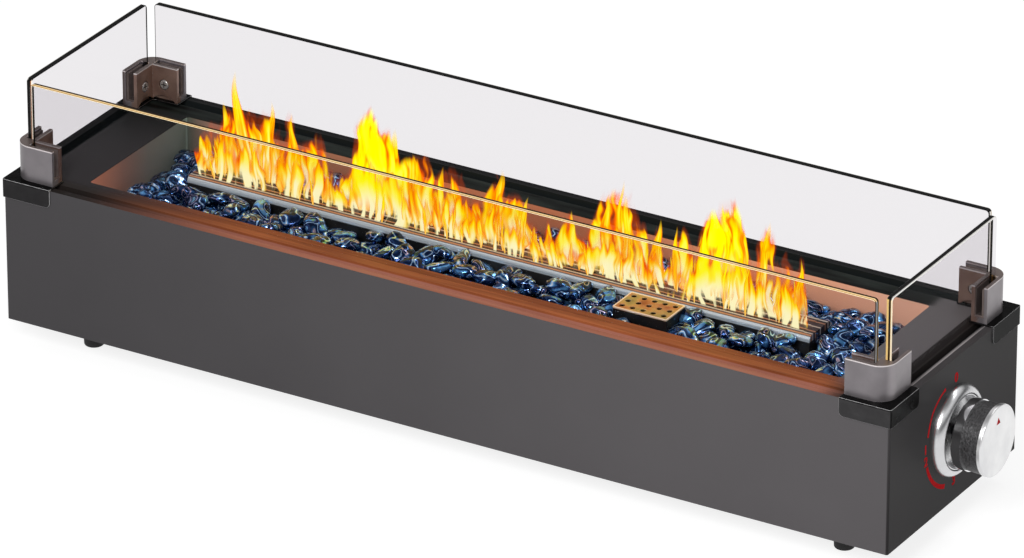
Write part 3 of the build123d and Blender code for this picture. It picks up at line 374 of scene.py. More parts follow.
def deck_coat(coords, x, y, z):
    """The flat top's grey, painted paler towards the right as light falls, with painted shade at its rim, at
    the back left and on the back edge, and darker along the front.
    """
    # Painted light: the deck pales towards the right.
    deck = blend(between(x, TRAY_LOW.x + 40 * MM, TRAY_HIGH.x - 60 * MM), "3b393a", "6c6869")
    # Painted shade at the back left.
    back_left = between(y, MIDDLE_Y - 20 * MM, WELL_BACK) * between(x, MIDDLE_X, WELL_LEFT)
    deck = blend(back_left, deck, "232525")
    # Painted shade on the rim's sides and on a band along the right-hand end.
    rim = highest(near(z, TRAY_HIGH.z, -0.3, -0.8), near(x, TRAY_HIGH.x, -9.5, -8.5))
    deck = blend(rim, deck, "201c1b")
    shaded = near(y, WELL_BACK, -1, 0) * near(x, WELL_RIGHT, 6, -4)
    cloud = noise(stretched(coords, 20.0, 160.0, 90.0), 1.0)
    deck = blend(shaded, deck, wander(cloud, "0a0b0a", "2a302d", (0.35, 0.7)))
    return blend(near(y, WELL_FRONT, -1, -12), deck, "2a2523")


def tray_coat():
    """Deck grey, the fire's light painted in copper on the front strip and on the walls by the fire, a dark
    floor and fine grain.
    """
    finish, shader, coords = new_finish("tray_coat", Roughness=0.45, Specular_IOR_Level=0.06)
    x, y, z = parts(coords)
    streak = noise(stretched(coords, 14.0, 320.0, 120.0), 1.0, 4.0)
    # The fire's light painted in copper on the front strip.
    outer = near(z, TRAY_HIGH.z, -1.4, -2.2)
    copper = blend(outer, wander(streak, "84482c", "ac623c"), wander(streak, "a46a5a", "b87c6a"))
    along = between(x, GLOW_START, GLOW_FULL) * near(x, TRAY_HIGH.x, -20, -50)
    strip = near(y, WELL_FRONT, 0.6, -0.2) * along
    colour = blend(strip, deck_coat(coords, x, y, z), copper)
    # The fire's light painted on the inside walls.
    end_wall = ramp(scaled(y, WELL_FRONT, WELL_BACK), END_WALL_FIRELIGHT)
    back_wall = ramp(scaled(x, WELL_LEFT, WELL_RIGHT), BACK_WALL_FIRELIGHT)
    on_end = near(x, WELL_LEFT, 0.8, 0.3)
    walls = near(abs(x - MIDDLE_X), WELL_X, 0.8, 0.4) * near(abs(y - MIDDLE_Y), WELL_Y, 0.8, 0.4)
    walls = walls * near(z, TRAY_HIGH.z, -0.2, -0.8)
    colour = blend(walls, colour, blend(on_end, back_wall, end_wall))
    on_floor = near(z, TRAY_LOW.z, 4, 2)
    link(shader, Base_Color=blend(on_floor, colour, "151414"))
    bump(shader, noise(coords, 700.0, 2.0), 0.03 * MM)
    return finish


dress(["fire_tray"], tray_coat())


# ---- Fire glass: several hundred tumbled pebbles of dark blue lustre glass, poured loose into the tray.
# Each drops at the lowest of a few places with room below the heap's surface, onto the tray or onto others.

BED_LOW, BED_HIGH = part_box("fire_glass_bed")
BAR_LOW, BAR_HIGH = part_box("burner_bar")
COVER_LOW, COVER_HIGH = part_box("igniter_cover")
TUBE_LOW, TUBE_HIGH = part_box("mixer_tube")
# What the pebbles keep off: its low and high corners, and the height that its cells start from.
OUT_OF_REACH = 9.0
KEEP_OFF = (
    (BAR_LOW, BAR_HIGH, OUT_OF_REACH),
    (COVER_LOW, COVER_HIGH, OUT_OF_REACH),
    (TUBE_LOW, TUBE_HIGH, TUBE_HIGH.z),
)
KEEP_OFF_MARGIN = 0.5 * MM
BED_ACROSS = (0, 0.12, 0.3, 0.36, 0.62, 1)
BED_LEVELS = (0.117, 0.1225, 0.1262, 0.1258, 0.127, 0.118)
LEFT_SLOPE, RIGHT_SLOPE = 52 * MM, 45 * MM
CELL = 2 * MM
CHUNK_COUNT = 1300
CHUNK_ROUND, CHUNK_RINGS = 12, 7
SMALLEST_HALF, LARGEST_HALF = (8.5, 6.4, 3.4), (13.5, 9.8, 5.0)
SQUARED_OFF = 0.88
LEAN = 0.45
TRIES = 24
ROOM_NEEDED, SURFACE_SLACK = 0.9, 2.5 * MM
FOOT_SHARE, DOME_SHARE = 0.72, 0.75
# The pebbles' navy, with painted reflections in pale blue and rare rose.
NAVY_AND_REFLECTIONS = {0: "a8dcff", 0.32: "5ca0dc", 0.38: "163c70", 0.44: "0c1e40", 0.468: "143a74",
          0.488: "5ca4e4", 0.506: "ecf8ff", 0.526: "6cace4", 0.55: "143060", 0.62: "0c1e3e",
          0.655: "285c92", 0.672: "ccb4bc", 0.69: "1e447c", 0.74: "0c1c36", 0.82: "8ccaf4"}


def grid_faces(pieces, rows, columns, closed):
    """The four-sided faces of many grids of points, which may close round their columns."""
    across = columns if closed else columns - 1
    row, column = np.meshgrid(np.arange(rows - 1), np.arange(across), indexing="ij")
    right = (column + 1) % columns
    here, above = row * columns, (row + 1) * columns
    quads = np.stack([here + column, here + right, above + right, above + column], -1).reshape(-1, 4)
    starts = np.arange(pieces)[:, None, None] * rows * columns
    return (quads + starts).reshape(-1, 4).tolist()


def many_surfaces(name, points):
    """One mesh of many grids, points[piece, row, column], closed round their columns, with flat ends."""
    pieces, rows, columns = points.shape[:3]
    starts = np.arange(pieces)[:, None] * rows * columns
    ring = np.arange(columns)
    faces = grid_faces(pieces, rows, columns, closed=True)
    faces += (starts + ring[::-1]).tolist()
    faces += (starts + (rows - 1) * columns + ring).tolist()
    return surface_piece(name, points, faces)


def point_vectors(piece, key, values):
    """Keeps one vector at each point of a piece, for its material."""
    attribute = piece.data.attributes.new(key, "FLOAT_VECTOR", "POINT")
    attribute.data.foreach_set("vector", values.astype(np.float32).ravel())


def turn_about(axis, angles):
    """Turning matrices about one axis, as [row, column, piece]."""
    first, second = (axis + 1) % 3, (axis + 2) % 3
    matrix = np.zeros((3, 3, len(angles)))
    matrix[axis, axis] = 1
    matrix[first, first] = matrix[second, second] = np.cos(angles)
    matrix[second, first] = np.sin(angles)
    matrix[first, second] = -np.sin(angles)
    return matrix


def chunk_shapes(random):
    """Flat rounded pebbles: a squared-off ellipsoid in two angles, with low lumps, turned on three axes."""
    around = np.linspace(0, 2 * np.pi, CHUNK_ROUND, endpoint=False)
    down = np.linspace(0.2, np.pi - 0.2, CHUNK_RINGS)
    down, around = np.meshgrid(down, around, indexing="ij")
    unit = np.stack([np.sin(down) * np.cos(around), np.sin(down) * np.sin(around), -np.cos(down)], -1)
    squared = np.sign(unit) * np.abs(unit) ** SQUARED_OFF
    half = random.uniform(SMALLEST_HALF, LARGEST_HALF, (CHUNK_COUNT, 3)) * MM
    each = (CHUNK_COUNT, 1, 1)
    lump = 1 + sum(
        random.uniform(0.02, 0.08, each) * np.sin(
            wave * around + random.uniform(0, 6.3, each) + 2.2 * down * random.uniform(-1, 1, each))
        for wave in (1, 2, 3)
    )
    shapes = squared * half[:, None, None] * lump[..., None]
    turn, tip, lean = random.uniform([0, -LEAN, -LEAN], [6.3, LEAN, LEAN], (CHUNK_COUNT, 3)).T
    turned = np.einsum("ijn,jkn,kln->nil", turn_about(2, turn), turn_about(0, tip), turn_about(1, lean))
    return np.einsum("nij,nrcj->nrci", turned, shapes)


def bed_surface(x, y):
    """Height the heap is filled to: falls away at the left end, highest behind the burner."""
    across = np.clip((y - BED_LOW.y) / (BED_HIGH.y - BED_LOW.y), 0, 1)
    level = np.interp(across, BED_ACROSS, BED_LEVELS)
    left = np.clip((x - BED_LOW.x) / LEFT_SLOPE, 0, 1)
    right = np.clip((x - (BED_HIGH.x - RIGHT_SLOPE)) / RIGHT_SLOPE, 0, 1)
    left_level = BED_LOW.z + 12 * MM + 10 * MM * across
    return left_level + (level - left_level) * left ** 0.7 + 3 * MM * right * (1 - across)


def empty_tray(grid_x, grid_y):
    """The height that each cell starts from: the bed's floor, and more where no pebble may lie."""
    floor = np.full(grid_x.shape, BED_LOW.z)
    for low, high, top in KEEP_OFF:
        over_x = (grid_x > low.x - KEEP_OFF_MARGIN) & (grid_x < high.x + KEEP_OFF_MARGIN)
        over_y = (grid_y > low.y - KEEP_OFF_MARGIN) & (grid_y < high.y + KEEP_OFF_MARGIN)
        over = over_x & over_y
        floor[over] = np.maximum(floor[over], top)
    return floor


def pour(shapes, random):
    """Drops the pebbles one by one on a grid of heights: each rests on the highest cell under its domed
    underside, at the lowest of a few places, and raises the cells there by its own dome."""
    size = [int((high - low) / CELL) for low, high in zip(BED_LOW[:2], BED_HIGH[:2])]
    cell_x, cell_y = [low + (np.arange(count) + 0.5) * CELL for low, count in zip(BED_LOW[:2], size)]
    grid_x, grid_y = np.meshgrid(cell_x, cell_y, indexing="ij")
    floor = empty_tray(grid_x, grid_y)
    goal = bed_surface(grid_x, grid_y)
    numbers, places = [], []
    for number, shape in enumerate(shapes):
        low, high = shape.reshape(-1, 3).min(0), shape.reshape(-1, 3).max(0)
        reach = np.maximum(-low, high)[:2]
        edge = np.ceil(reach / CELL).astype(int)
        steps = np.maximum(1, (reach * FOOT_SHARE / CELL).astype(int))
        step_x, step_y = np.meshgrid(*(np.arange(-most, most + 1) for most in steps), indexing="ij")
        inside = (step_x / (steps[0] + 0.5)) ** 2 + (step_y / (steps[1] + 0.5)) ** 2
        dome = np.sqrt(np.clip(1 - inside, 0, 1))
        use = inside < 1
        room = (goal - floor)[edge[0]:size[0] - edge[0], edge[1]:size[1] - edge[1]]
        free = np.argwhere(room > ROOM_NEEDED * high[2])
        if not len(free):
            continue
        best = (math.inf, 0, 0)
        for i, j in free[random.integers(0, len(free), TRIES)] + edge:
            z = np.max(np.where(use, floor[i + step_x, j + step_y] - low[2] * dome, -1.0))
            if z < best[0] and z + high[2] < goal[i, j] + SURFACE_SLACK:
                best = (z, i, j)
        z, i, j = best
        if math.isinf(z):
            continue
        under = (i + step_x, j + step_y)
        floor[under] = np.maximum(floor[under], np.where(use, z + high[2] * dome * DOME_SHARE, -1.0))
        numbers.append(number)
        places.append((cell_x[i], cell_y[j], z))
    return shapes[numbers] + np.array(places)[:, None, None]


def attribute(tree, key):
    """The vector kept at each point under a key."""
    return add(tree, "Attribute", output="Vector", attribute_name=key)


def lustre_glass():
    """Navy glass with a mirror-like lustre: painted reflections in curved patches of pale blue, and rare
    rose, over low swells.
    """
    finish, shader, coords = new_finish("lustre_glass", Roughness=0.04, IOR=1.6, Metallic=0.72)
    own_shift = attribute(coords.tree, "own_shift")
    moved = add(coords.tree, "VectorMath", {0: coords, 1: own_shift}, operation="ADD")
    link(shader, Base_Color=ramp(noise(moved, 72.0, 0.4, 1.0), NAVY_AND_REFLECTIONS))
    bump(shader, noise(moved, 110.0, 0.6, 0.8), 2.2 * MM)
    return finish


def fire_glass():
    """The poured heap as one piece."""
    random = np.random.default_rng(7)
    points = pour(chunk_shapes(random), random)
    heap = many_surfaces("fire_glass_chunks", points)
    heap.data.shade_smooth()
    shifts = random.uniform(0, 2, (len(points), 3))
    point_vectors(heap, "own_shift", np.repeat(shifts, CHUNK_ROUND * CHUNK_RINGS, axis=0))
    heap.data.materials.append(lustre_glass())
    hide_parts("fire_glass_bed")
    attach(heap, "housing")


fire_glass()


# ---- Burner: a folded stainless bar with rolled edges and low ribs, closed by end plates, on two saddles.
# Heat has tinted its top brown, with painted highlights on its ribs; the rolled edges stay pale, and
# painted shade darkens the sides.

# In millimetres: where each painted highlight lies across the bar, half the tinted width, and the rolled
# edges' height.
RIB_HIGHLIGHTS = {-13.0: "c89474", -10.8: "d8cfc8", -6.8: "c08a6c", 0.0: "d8c8b8", 6.8: "c08a6c", 10.8: "d8cfc8"}
TINTED_HALF, ROLLED_EDGE = 14.3, 4.8


def heat_tinted_steel():
    """Brushed steel along its length: pale rolled edges, brown top with painted highlights on its ribs,
    painted shade on the sides.
    """
    finish, shader, coords = new_finish("heat_tinted_steel", Metallic=0.35)
    _, y, z = parts(coords)
    brushing = noise(stretched(coords, 6.0, 900.0, 900.0), 1.0, 4.0)
    patch = noise(coords, 45.0, 4.0)
    tint = ramp(patch, {0.3: "1e1716", 0.5: "3a2c2a", 0.7: "5c4a4c"})
    across = y - MIDDLE_Y
    # Painted highlights along the ribs, in pale and copper lines.
    for place, shine in RIB_HIGHLIGHTS.items():
        tint = blend(near(abs(across - place * MM), 0, 0.9, 0.4), tint, shine)
    top = near(abs(across), 0, TINTED_HALF, TINTED_HALF - 0.5)
    colour = blend(top, wander(brushing, "b6c4c8", "e4eef0"), tint)
    # Painted shade on the sides below the rolled edges.
    low = near(z, BAR_HIGH.z, -ROLLED_EDGE, -ROLLED_EDGE - 0.8)
    colour = blend(low, colour, wander(patch, "1c1d1e", "343433"))
    link(shader, Base_Color=colour, Roughness=scaled(brushing, 0.0, 1.0, 0.28, 0.45))
    bump(shader, brushing, 0.03 * MM)
    return finish


dress(["burner_bar", "burner_end_plates", "burner_brackets", "mixer_tube", "igniter_bracket"],
      heat_tinted_steel())


# ---- Igniter cover: a perforated stainless box over the igniter, tinted gold by the heat. Its top edges
# carry a painted bright highlight, and its sides are dark.

COVER_X, COVER_Y, _ = (COVER_LOW + COVER_HIGH) / 2
COVER_HALF_X, COVER_HALF_Y, _ = (COVER_HIGH - COVER_LOW) / 2
GOLD_TINT = {0.3: "a0603a", 0.42: "c48a58", 0.52: "ccaa68", 0.62: "b0a060", 0.75: "887848"}


def rounded_copy(node, width, finish, edge_finish):
    """A copy of a CAD node's surface, merged and cleaned to flat faces, with its edges rounded by a bevel
    in a second finish."""
    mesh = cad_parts[node].data.copy()
    work = bmesh.new()
    work.from_mesh(mesh)
    bmesh.ops.remove_doubles(work, verts=work.verts, dist=0.005 * MM)
    bmesh.ops.dissolve_limit(work, angle_limit=math.radians(1.0), verts=work.verts, edges=work.edges)
    work.to_mesh(mesh)
    work.free()
    mesh.shade_smooth()
    mesh.set_sharp_from_angle(angle=math.radians(30))
    mesh.materials.clear()
    mesh.materials.append(finish)
    mesh.materials.append(edge_finish)
    mesh.polygons.foreach_set("material_index", np.zeros(len(mesh.polygons), dtype=np.int32))
    piece = put_in_scene(node + "_rounded", mesh)
    bevel = piece.modifiers.new("edges", "BEVEL")
    bevel.width = width
    bevel.segments = 2
    bevel.limit_method = "ANGLE"
    bevel.angle_limit = math.radians(35)
    bevel.material = 1
    bevel.harden_normals = True
    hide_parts(node)
    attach(piece, "housing")


def golden_steel():
    """Gold heat tint with olive and brown patches on the top, a painted bright highlight round its edges,
    and dark walls.
    """
    finish, shader, coords = new_finish("golden_steel", Metallic=0.5, Roughness=0.4)
    x, y, z = parts(coords)
    patch = noise(coords, 70.0)
    high = near(z, COVER_HIGH.z, -1.4, -0.7)
    colour = blend(high, wander(patch, "131516", "2a2827"), ramp(patch, GOLD_TINT))
    # A painted bright highlight round the top's edges.
    rim = highest(near(abs(x - COVER_X), COVER_HALF_X, -1.3, -1.0),
                  near(abs(y - COVER_Y), COVER_HALF_Y, -1.6, -1.2))
    edge_highlight = rim * near(z, COVER_HIGH.z, -0.9, -0.7)
    link(shader, Base_Color=blend(edge_highlight, colour, "fff2e0"))
    bump(shader, noise(coords, 1500.0, 2.0), 0.02 * MM)
    return finish


def cloudy(name, low, high, scale, detail=3.0, **plain):
    """A plain finish whose colour wanders between two, with its shader and coordinates."""
    finish, shader, coords = new_finish(name, **plain)
    link(shader, Base_Color=wander(noise(coords, scale, detail), low, high))
    return finish, shader, coords


# The bevels' finish: a painted pale highlight along the cover's edges.
cover_edge_highlight = cloudy("cover_edge_highlight", "f0dcc4", "fff8ee", 160.0, Roughness=0.35)[0]
rounded_copy("igniter_cover", 0.95 * MM, golden_steel(), cover_edge_highlight)


# ---- Flames: burning gas above the burner's ports, not a physical piece. Thin strands rise from the
# ports and join into wavering curtains, out of which the tall tongues stand in groups along the bar.

# The fire's ragged line, as (place along the bar, height) in millimetres.
FIRE_LINE = (
    (-252, 22), (-247, 34), (-236, 34), (-231, 50), (-205, 54), (-193, 64), (-185, 52), (-174, 60),
    (-169, 40), (-145, 48), (-139, 18), (-126, 28), (-121, 58), (-109, 75), (-101, 60), (-91, 67),
    (-84, 44), (-73, 50), (-64, 54), (-59, 38), (-51, 48), (-38, 44), (-33, 30), (-24, 28), (-5, 54),
    (1, 42), (15, 41), (24, 27), (33, 15), (37, 28), (43, 15), (56, 40), (62, 26), (72, 30), (80, 56),
    (97, 62), (110, 50), (114, 20), (122, 46), (128, 12), (139, 50), (149, 32), (162, 66), (182, 74),
    (192, 58), (197, 36), (211, 64), (221, 52), (233, 42), (239, 46), (241, 16),
)
# Each tall tongue as (place of its tip along the bar, height, half width, lean) in millimetres.
TALL_TONGUES = (
    (-231, 58, 4.0, -2), (-222, 84, 6.2, -14), (-193, 66, 5.0, 1), (-174, 62, 4.4, -1), (-109, 77, 6.4, 1),
    (-91, 69, 6.0, 3), (-73, 54, 3.6, -2), (-51, 50, 3.4, 1), (-38, 46, 3.0, -2), (-5, 57, 5.6, 3),
    (20, 44, 3.0, 6), (56, 43, 3.2, 2), (80, 60, 4.4, -1), (93, 75, 2.8, 0), (99, 65, 4.6, 1),
    (122, 50, 3.8, 1), (139, 53, 3.4, -1), (162, 70, 6.2, -1), (181, 77, 6.4, 1), (212, 72, 4.4, 8),
    (236, 50, 3.0, 3),
)
# The brightest groups as (place, half width) in millimetres, and each curtain as (depth, share of height).
BRIGHT_GROUPS = ((-104, 19), (174, 20))
CURTAINS = ((-9.5, 0.6), (-3.0, 0.95), (5.0, 1.0))
FIRE_LEFT, FIRE_RIGHT = -251, 241
# The smaller tongues: name, count, share of the fire's height, half width and depth in mm, thinness.
SMALL_TONGUES = (
    ("flame_middle", 44, (0.4, 0.85), (3.0, 5.5), (-5, 5), 0.0),
    ("flame_strands", 90, (0.3, 0.8), (0.8, 1.8), (-12, 2), 1.0),
)
SHORTEST_TONGUE = 14 * MM
SIDE_SHIFT, SIDE_RISE = 0.6, 0.5
FIRE_FOOT = BAR_HIGH.z - 0.3 * MM
GLOW_STRENGTH = 1.2
CURTAIN_COLUMNS, CURTAIN_ROWS = 360, 24
TONGUE_ROUND, TONGUE_ROWS = 12, 26
LOW_FLAME = {0: "e25a08", 0.13: "f47a10", 0.28: "ff9e1c", 0.48: "ffbe30", 0.68: "ffe068", 0.95: "fff8c0"}
HIGH_FLAME = {0: "e85000", 0.14: "fa7000", 0.3: "ff9a00", 0.48: "ffc000", 0.7: "ffe010", 1: "fff450"}
PURE_FLAME = {0: "f06000", 0.1: "ff9800", 0.22: "ffcc00", 0.36: "ffec00", 0.6: "fffa00"}


def fire_height(x):
    """How high the fire stands at a place along the bar, between the points of its ragged line."""
    places, heights = np.array(FIRE_LINE).T
    return np.interp(x / MM, places, heights) * MM


def bright_share(x):
    """1 in the middle of the brightest groups and 0 away from them."""
    return np.max([np.exp(-((x / MM - middle) / width) ** 2) for middle, width in BRIGHT_GROUPS], axis=0)


def flame_points(base, height, width, lean, random):
    """Tongues as grids. From a thin foot the radius swells to a third of the height and closes to a point;
    the middle line leans and waves more towards the tip, and uneven lobes twist round it."""
    share = np.linspace(0, 1, TONGUE_ROWS)[None, :, None]
    angle = np.linspace(0, 2 * np.pi, TONGUE_ROUND, endpoint=False)[None, None]
    phase = random.uniform(0, 6.3, (6, len(height), 1, 1))
    rise = np.clip(share / 0.3, 0, 1)
    swell = (0.25 + 0.75 * rise * rise * (3 - 2 * rise)) * (1.003 - share) ** 0.7
    swell = swell * (1 + 0.2 * np.sin(8 * share + phase[4]))
    lobes = 1 + 0.16 * np.sin(3 * angle + 3.0 * share + phase[0])
    lobes = lobes + 0.12 * np.sin(2 * angle - 5 * share + phase[1])
    radius = 1.15 * width[:, None, None] * swell * lobes
    tall = height[:, None, None]
    wave = 0.03 * np.sin(5.5 * share + phase[2]) + 0.01 * np.sin(13 * share + phase[5])
    sway = 0.03 * np.sin(4.0 * share + phase[3])
    base_x, base_y, base_z = base.T[..., None, None]
    lean_x, lean_y = lean.T[..., None, None]
    x = base_x + lean_x * share ** 1.2 + tall * share * wave + radius * np.cos(angle)
    y = base_y + lean_y * share ** 1.3 + tall * share * sway + 0.8 * radius * np.sin(angle)
    z = base_z + tall * share + 0 * angle
    return np.stack([x, y, z], -1)


def curtain_points(random):
    """Open sheets along the bar: y waves slowly along x and more towards the top; z runs up to the fire's
    line, taken where each sheet stands as seen from the front right corner."""
    depth, tall_share = np.array(CURTAINS).T[..., None, None]
    x = np.linspace(FIRE_LEFT, FIRE_RIGHT, CURTAIN_COLUMNS)[None, None] * MM
    share = np.linspace(0, 1, CURTAIN_ROWS)[None, :, None]
    phase = random.uniform(0, 6.3, (4, len(CURTAINS), 1, 1))
    tall = fire_height(x) * tall_share * 1.12 - SIDE_RISE * depth * MM
    y = depth * MM + 1.6 * MM * np.sin(x / (19 * MM) + phase[1])
    y = y + 3.5 * MM * share * np.sin(x / (11 * MM) + phase[2])
    across = x - SIDE_SHIFT * depth * MM + 3 * MM * share ** 1.5 * np.sin(x / (30 * MM) + phase[3])
    z = FIRE_FOOT + tall * share
    return np.stack(np.broadcast_arrays(across + MIDDLE_X, y + MIDDLE_Y, z), -1)


def glowing(finish_name, solid_and_colour):
    """A glow without a surface: a material that mixes clear and plain emission by a share, with a colour."""
    finish = bpy.data.materials.new(finish_name)
    tree = empty_tree(finish)
    finish.cycles.emission_sampling = "NONE"
    solid, colour = solid_and_colour(tree)
    glow = add(tree, "Emission", {"Color": colour, "Strength": GLOW_STRENGTH})
    show(add(tree, "MixShader", {"Fac": solid, 1: add(tree, "BsdfTransparent"), 2: glow}))
    return finish


def flame_colour(heat, share, bright):
    """Red to cream by heat: paler low down, and pure yellow high up in the brightest groups."""
    high = blend(bright, ramp(heat, HIGH_FLAME), ramp(heat, PURE_FLAME))
    return blend(between(share, 0.22, 0.6), ramp(heat, LOW_FLAME), high)


def curtain_light(tree):
    """Licks from streaked noise that thins towards the top, combed into strands at the foot."""
    coords = add(tree, "TexCoord", output="Object")
    x, _, z = parts(coords)
    share, bright, layer = parts(attribute(tree, "own"))
    across = x + (noise(coords, 40.0, 1.0) - 0.5) * (14 * MM)
    broad_place = add(tree, "CombineXYZ", {0: across / (13.0 * MM), 1: layer, 2: z / (38.0 * MM)})
    fine_place = add(tree, "CombineXYZ", {0: across / (4.6 * MM), 1: layer, 2: z / (40.0 * MM)})
    fine = noise(fine_place, 1.0, 1.5)
    uneven = fine - 0.5
    lick = noise(broad_place, 1.0, 2.0) - (share ** 2.5 * 0.32 + 0.36 - bright * 0.2)
    edge = lick + uneven * 0.5
    haze = between(edge, -0.12, 0.0) * 0.16
    combed = between(share, 0.38, 0.08) * (1.0 - between(fine, 0.49, 0.57))
    ends = between(share, 0.0, 0.03) * between(share, 1.0, 0.85)
    solid = highest(haze, between(edge, 0.0, 0.12)) * (1.0 - combed) * ends
    heat = lick * 3.0 + uneven * 3.2 + (0.6 - share) * 0.5
    return solid * 0.97, flame_colour(heat, share, bright)


def tongue_light(tree):
    """Softly clear towards the outline, streaked along the height, paler in the thick middle."""
    share, bright, thin = parts(attribute(tree, "own"))
    uneven = noise(stretched(attribute(tree, "flow"), 2.6, 2.6, 1.6), 1.5, 3.0, 0.4) - 0.5
    core = 1.0 - add(tree, "LayerWeight", {"Blend": 0.5}, "Facing")
    heat = core - 0.2 + uneven * 2.0 - (1.0 - thin) * 0.15
    ends = between(share, 1.0, 0.7) * between(share, 0.0, 0.05)
    solid = between(core + uneven * 0.9, 0.1, 0.75) * ends
    return solid * scaled(thin, 0.0, 1.0, 0.75, 0.95), flame_colour(heat, share, bright)


def height_shares(points):
    """Each point's share of its flame's height, from its row."""
    return np.broadcast_to(np.linspace(0, 1, points.shape[1])[None, :, None], points.shape[:3])


def glow_piece(piece, points, third, finish):
    """Keeps each point's height share, its group's brightness and a third number for the finish, and gives
    the piece its finish, slot and body. A flame casts no shadow."""
    piece.data.shade_smooth()
    share = height_shares(points)
    bright = bright_share(points[..., 0] - MIDDLE_X)
    point_vectors(piece, "own", np.stack([share, bright, third + 0 * share], -1))
    piece.data.materials.append(finish)
    piece.visible_shadow = False
    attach(piece, "housing")


def flame_piece(name, points, thin, finish, random):
    """One mesh of tongues. Each point keeps a place that the streaks follow, round and up its tongue."""
    piece = many_surfaces(name, points)
    share = height_shares(points)
    angle = np.linspace(0, 2 * np.pi, points.shape[2], endpoint=False)[None, None]
    shift = random.uniform(0, 40, (len(points), 1, 1))
    flow = [0.5 * np.cos(angle) + shift + 0 * share, 0.5 * np.sin(angle) + 0 * share, share]
    point_vectors(piece, "flow", np.stack(flow, -1))
    glow_piece(piece, points, thin, finish)


def curtains(random):
    """The sheets as one piece, each with its own layer of noise."""
    points = curtain_points(random)
    piece = surface_piece("flame_curtains", points, grid_faces(*points.shape[:3], closed=False))
    layer = 7.3 * np.arange(len(points))[:, None, None]
    glow_piece(piece, points, layer, glowing("curtain_light", curtain_light))


def tongues(random):
    """The tall tongues, middling tongues among them, and thin strands from the ports."""
    finish = glowing("tongue_light", tongue_light)
    tip, height, width, lean_x = np.array(TALL_TONGUES).T * MM
    base_y = random.uniform(-3, 3, len(tip)) * MM
    base = np.stack([tip - lean_x + MIDDLE_X, base_y + MIDDLE_Y, 0 * tip + FIRE_FOOT], -1)
    lean = np.stack([lean_x, random.uniform(-2, 2, len(tip)) * MM], -1)
    flame_piece("flame_tall", flame_points(base, height, width, lean, random), 0.6, finish, random)
    for name, count, share, widths, depths, thin in SMALL_TONGUES:
        x = random.uniform(FIRE_LEFT + 3, FIRE_RIGHT - 5, count) * MM
        y = random.uniform(*depths, count) * MM
        base = np.stack([x + MIDDLE_X - SIDE_SHIFT * y, y + MIDDLE_Y, 0 * x + FIRE_FOOT], -1)
        height = np.maximum(fire_height(x) * random.uniform(*share, count), SHORTEST_TONGUE)
        lean = random.uniform([-4, -2], [4, 2], (count, 2)) * MM
        width = random.uniform(*widths, count) * MM
        flame_piece(name, flame_points(base, height, width, lean, random), thin, finish, random)


flame_random = np.random.default_rng(3)
curtains(flame_random)
tongues(flame_random)


# ---- Wind guard: four toughened panes, faintly grey. Their polished edges are dark with painted pale
# reflections and a faint painted glow, and the front pane's top edge has the fire's reflection painted in
# gold.

PANE_TINT = (0.908, 0.899, 0.908, 1)
EDGE_GOLD = {0: "201810", 0.46: "2a1c12", 0.56: "a87c38", 0.68: "fff0c4", 0.82: "d8a858",
             0.9: "a07030", 1: "fff2cc"}
EDGE_DARK = {0: "0a0a0a", 0.7: "0c0b0b", 0.78: "5a5854", 0.84: "c8c6c2", 1: "f4f2ee"}
EDGE_BLACK = {0: "fff6e8", 0.1: "fff2e0", 0.18: "b8794a", 0.28: "4a2c1a", 0.36: "0c0b0a", 1: "080808"}
EDGE_MIXED = {0: "f0d8a8", 0.12: "c8a058", 0.32: "e8c886", 0.42: "8a6430", 0.5: "0c0b0a",
              0.72: "141210", 0.8: "d8b878", 0.9: "fff6e4", 1: "e0c090"}
EDGE_SILVER = {0: "e8c890", 0.16: "d8b060", 0.26: "181410", 0.5: "100f0e", 0.6: "8a8c90",
               0.75: "d8dade", 0.85: "605c58", 1: "1a1816"}
EDGE_PALE = {0: "141210", 0.15: "201c18", 0.25: "fffdf8", 0.5: "ffffff", 0.6: "d8b880",
             0.7: "f8f0e0", 0.9: "ffffff", 1: "4a443c"}
# Each pane: the axis across it, which way it faces, and the painted reflections striped across its top and
# upright edges.
PANES = {
    "glass_front": ("Y", -1, EDGE_GOLD, EDGE_SILVER),
    "glass_back": ("Y", 1, EDGE_DARK, EDGE_PALE),
    "glass_left": ("X", -1, EDGE_DARK, EDGE_BLACK),
    "glass_right": ("X", 1, EDGE_DARK, EDGE_MIXED),
}


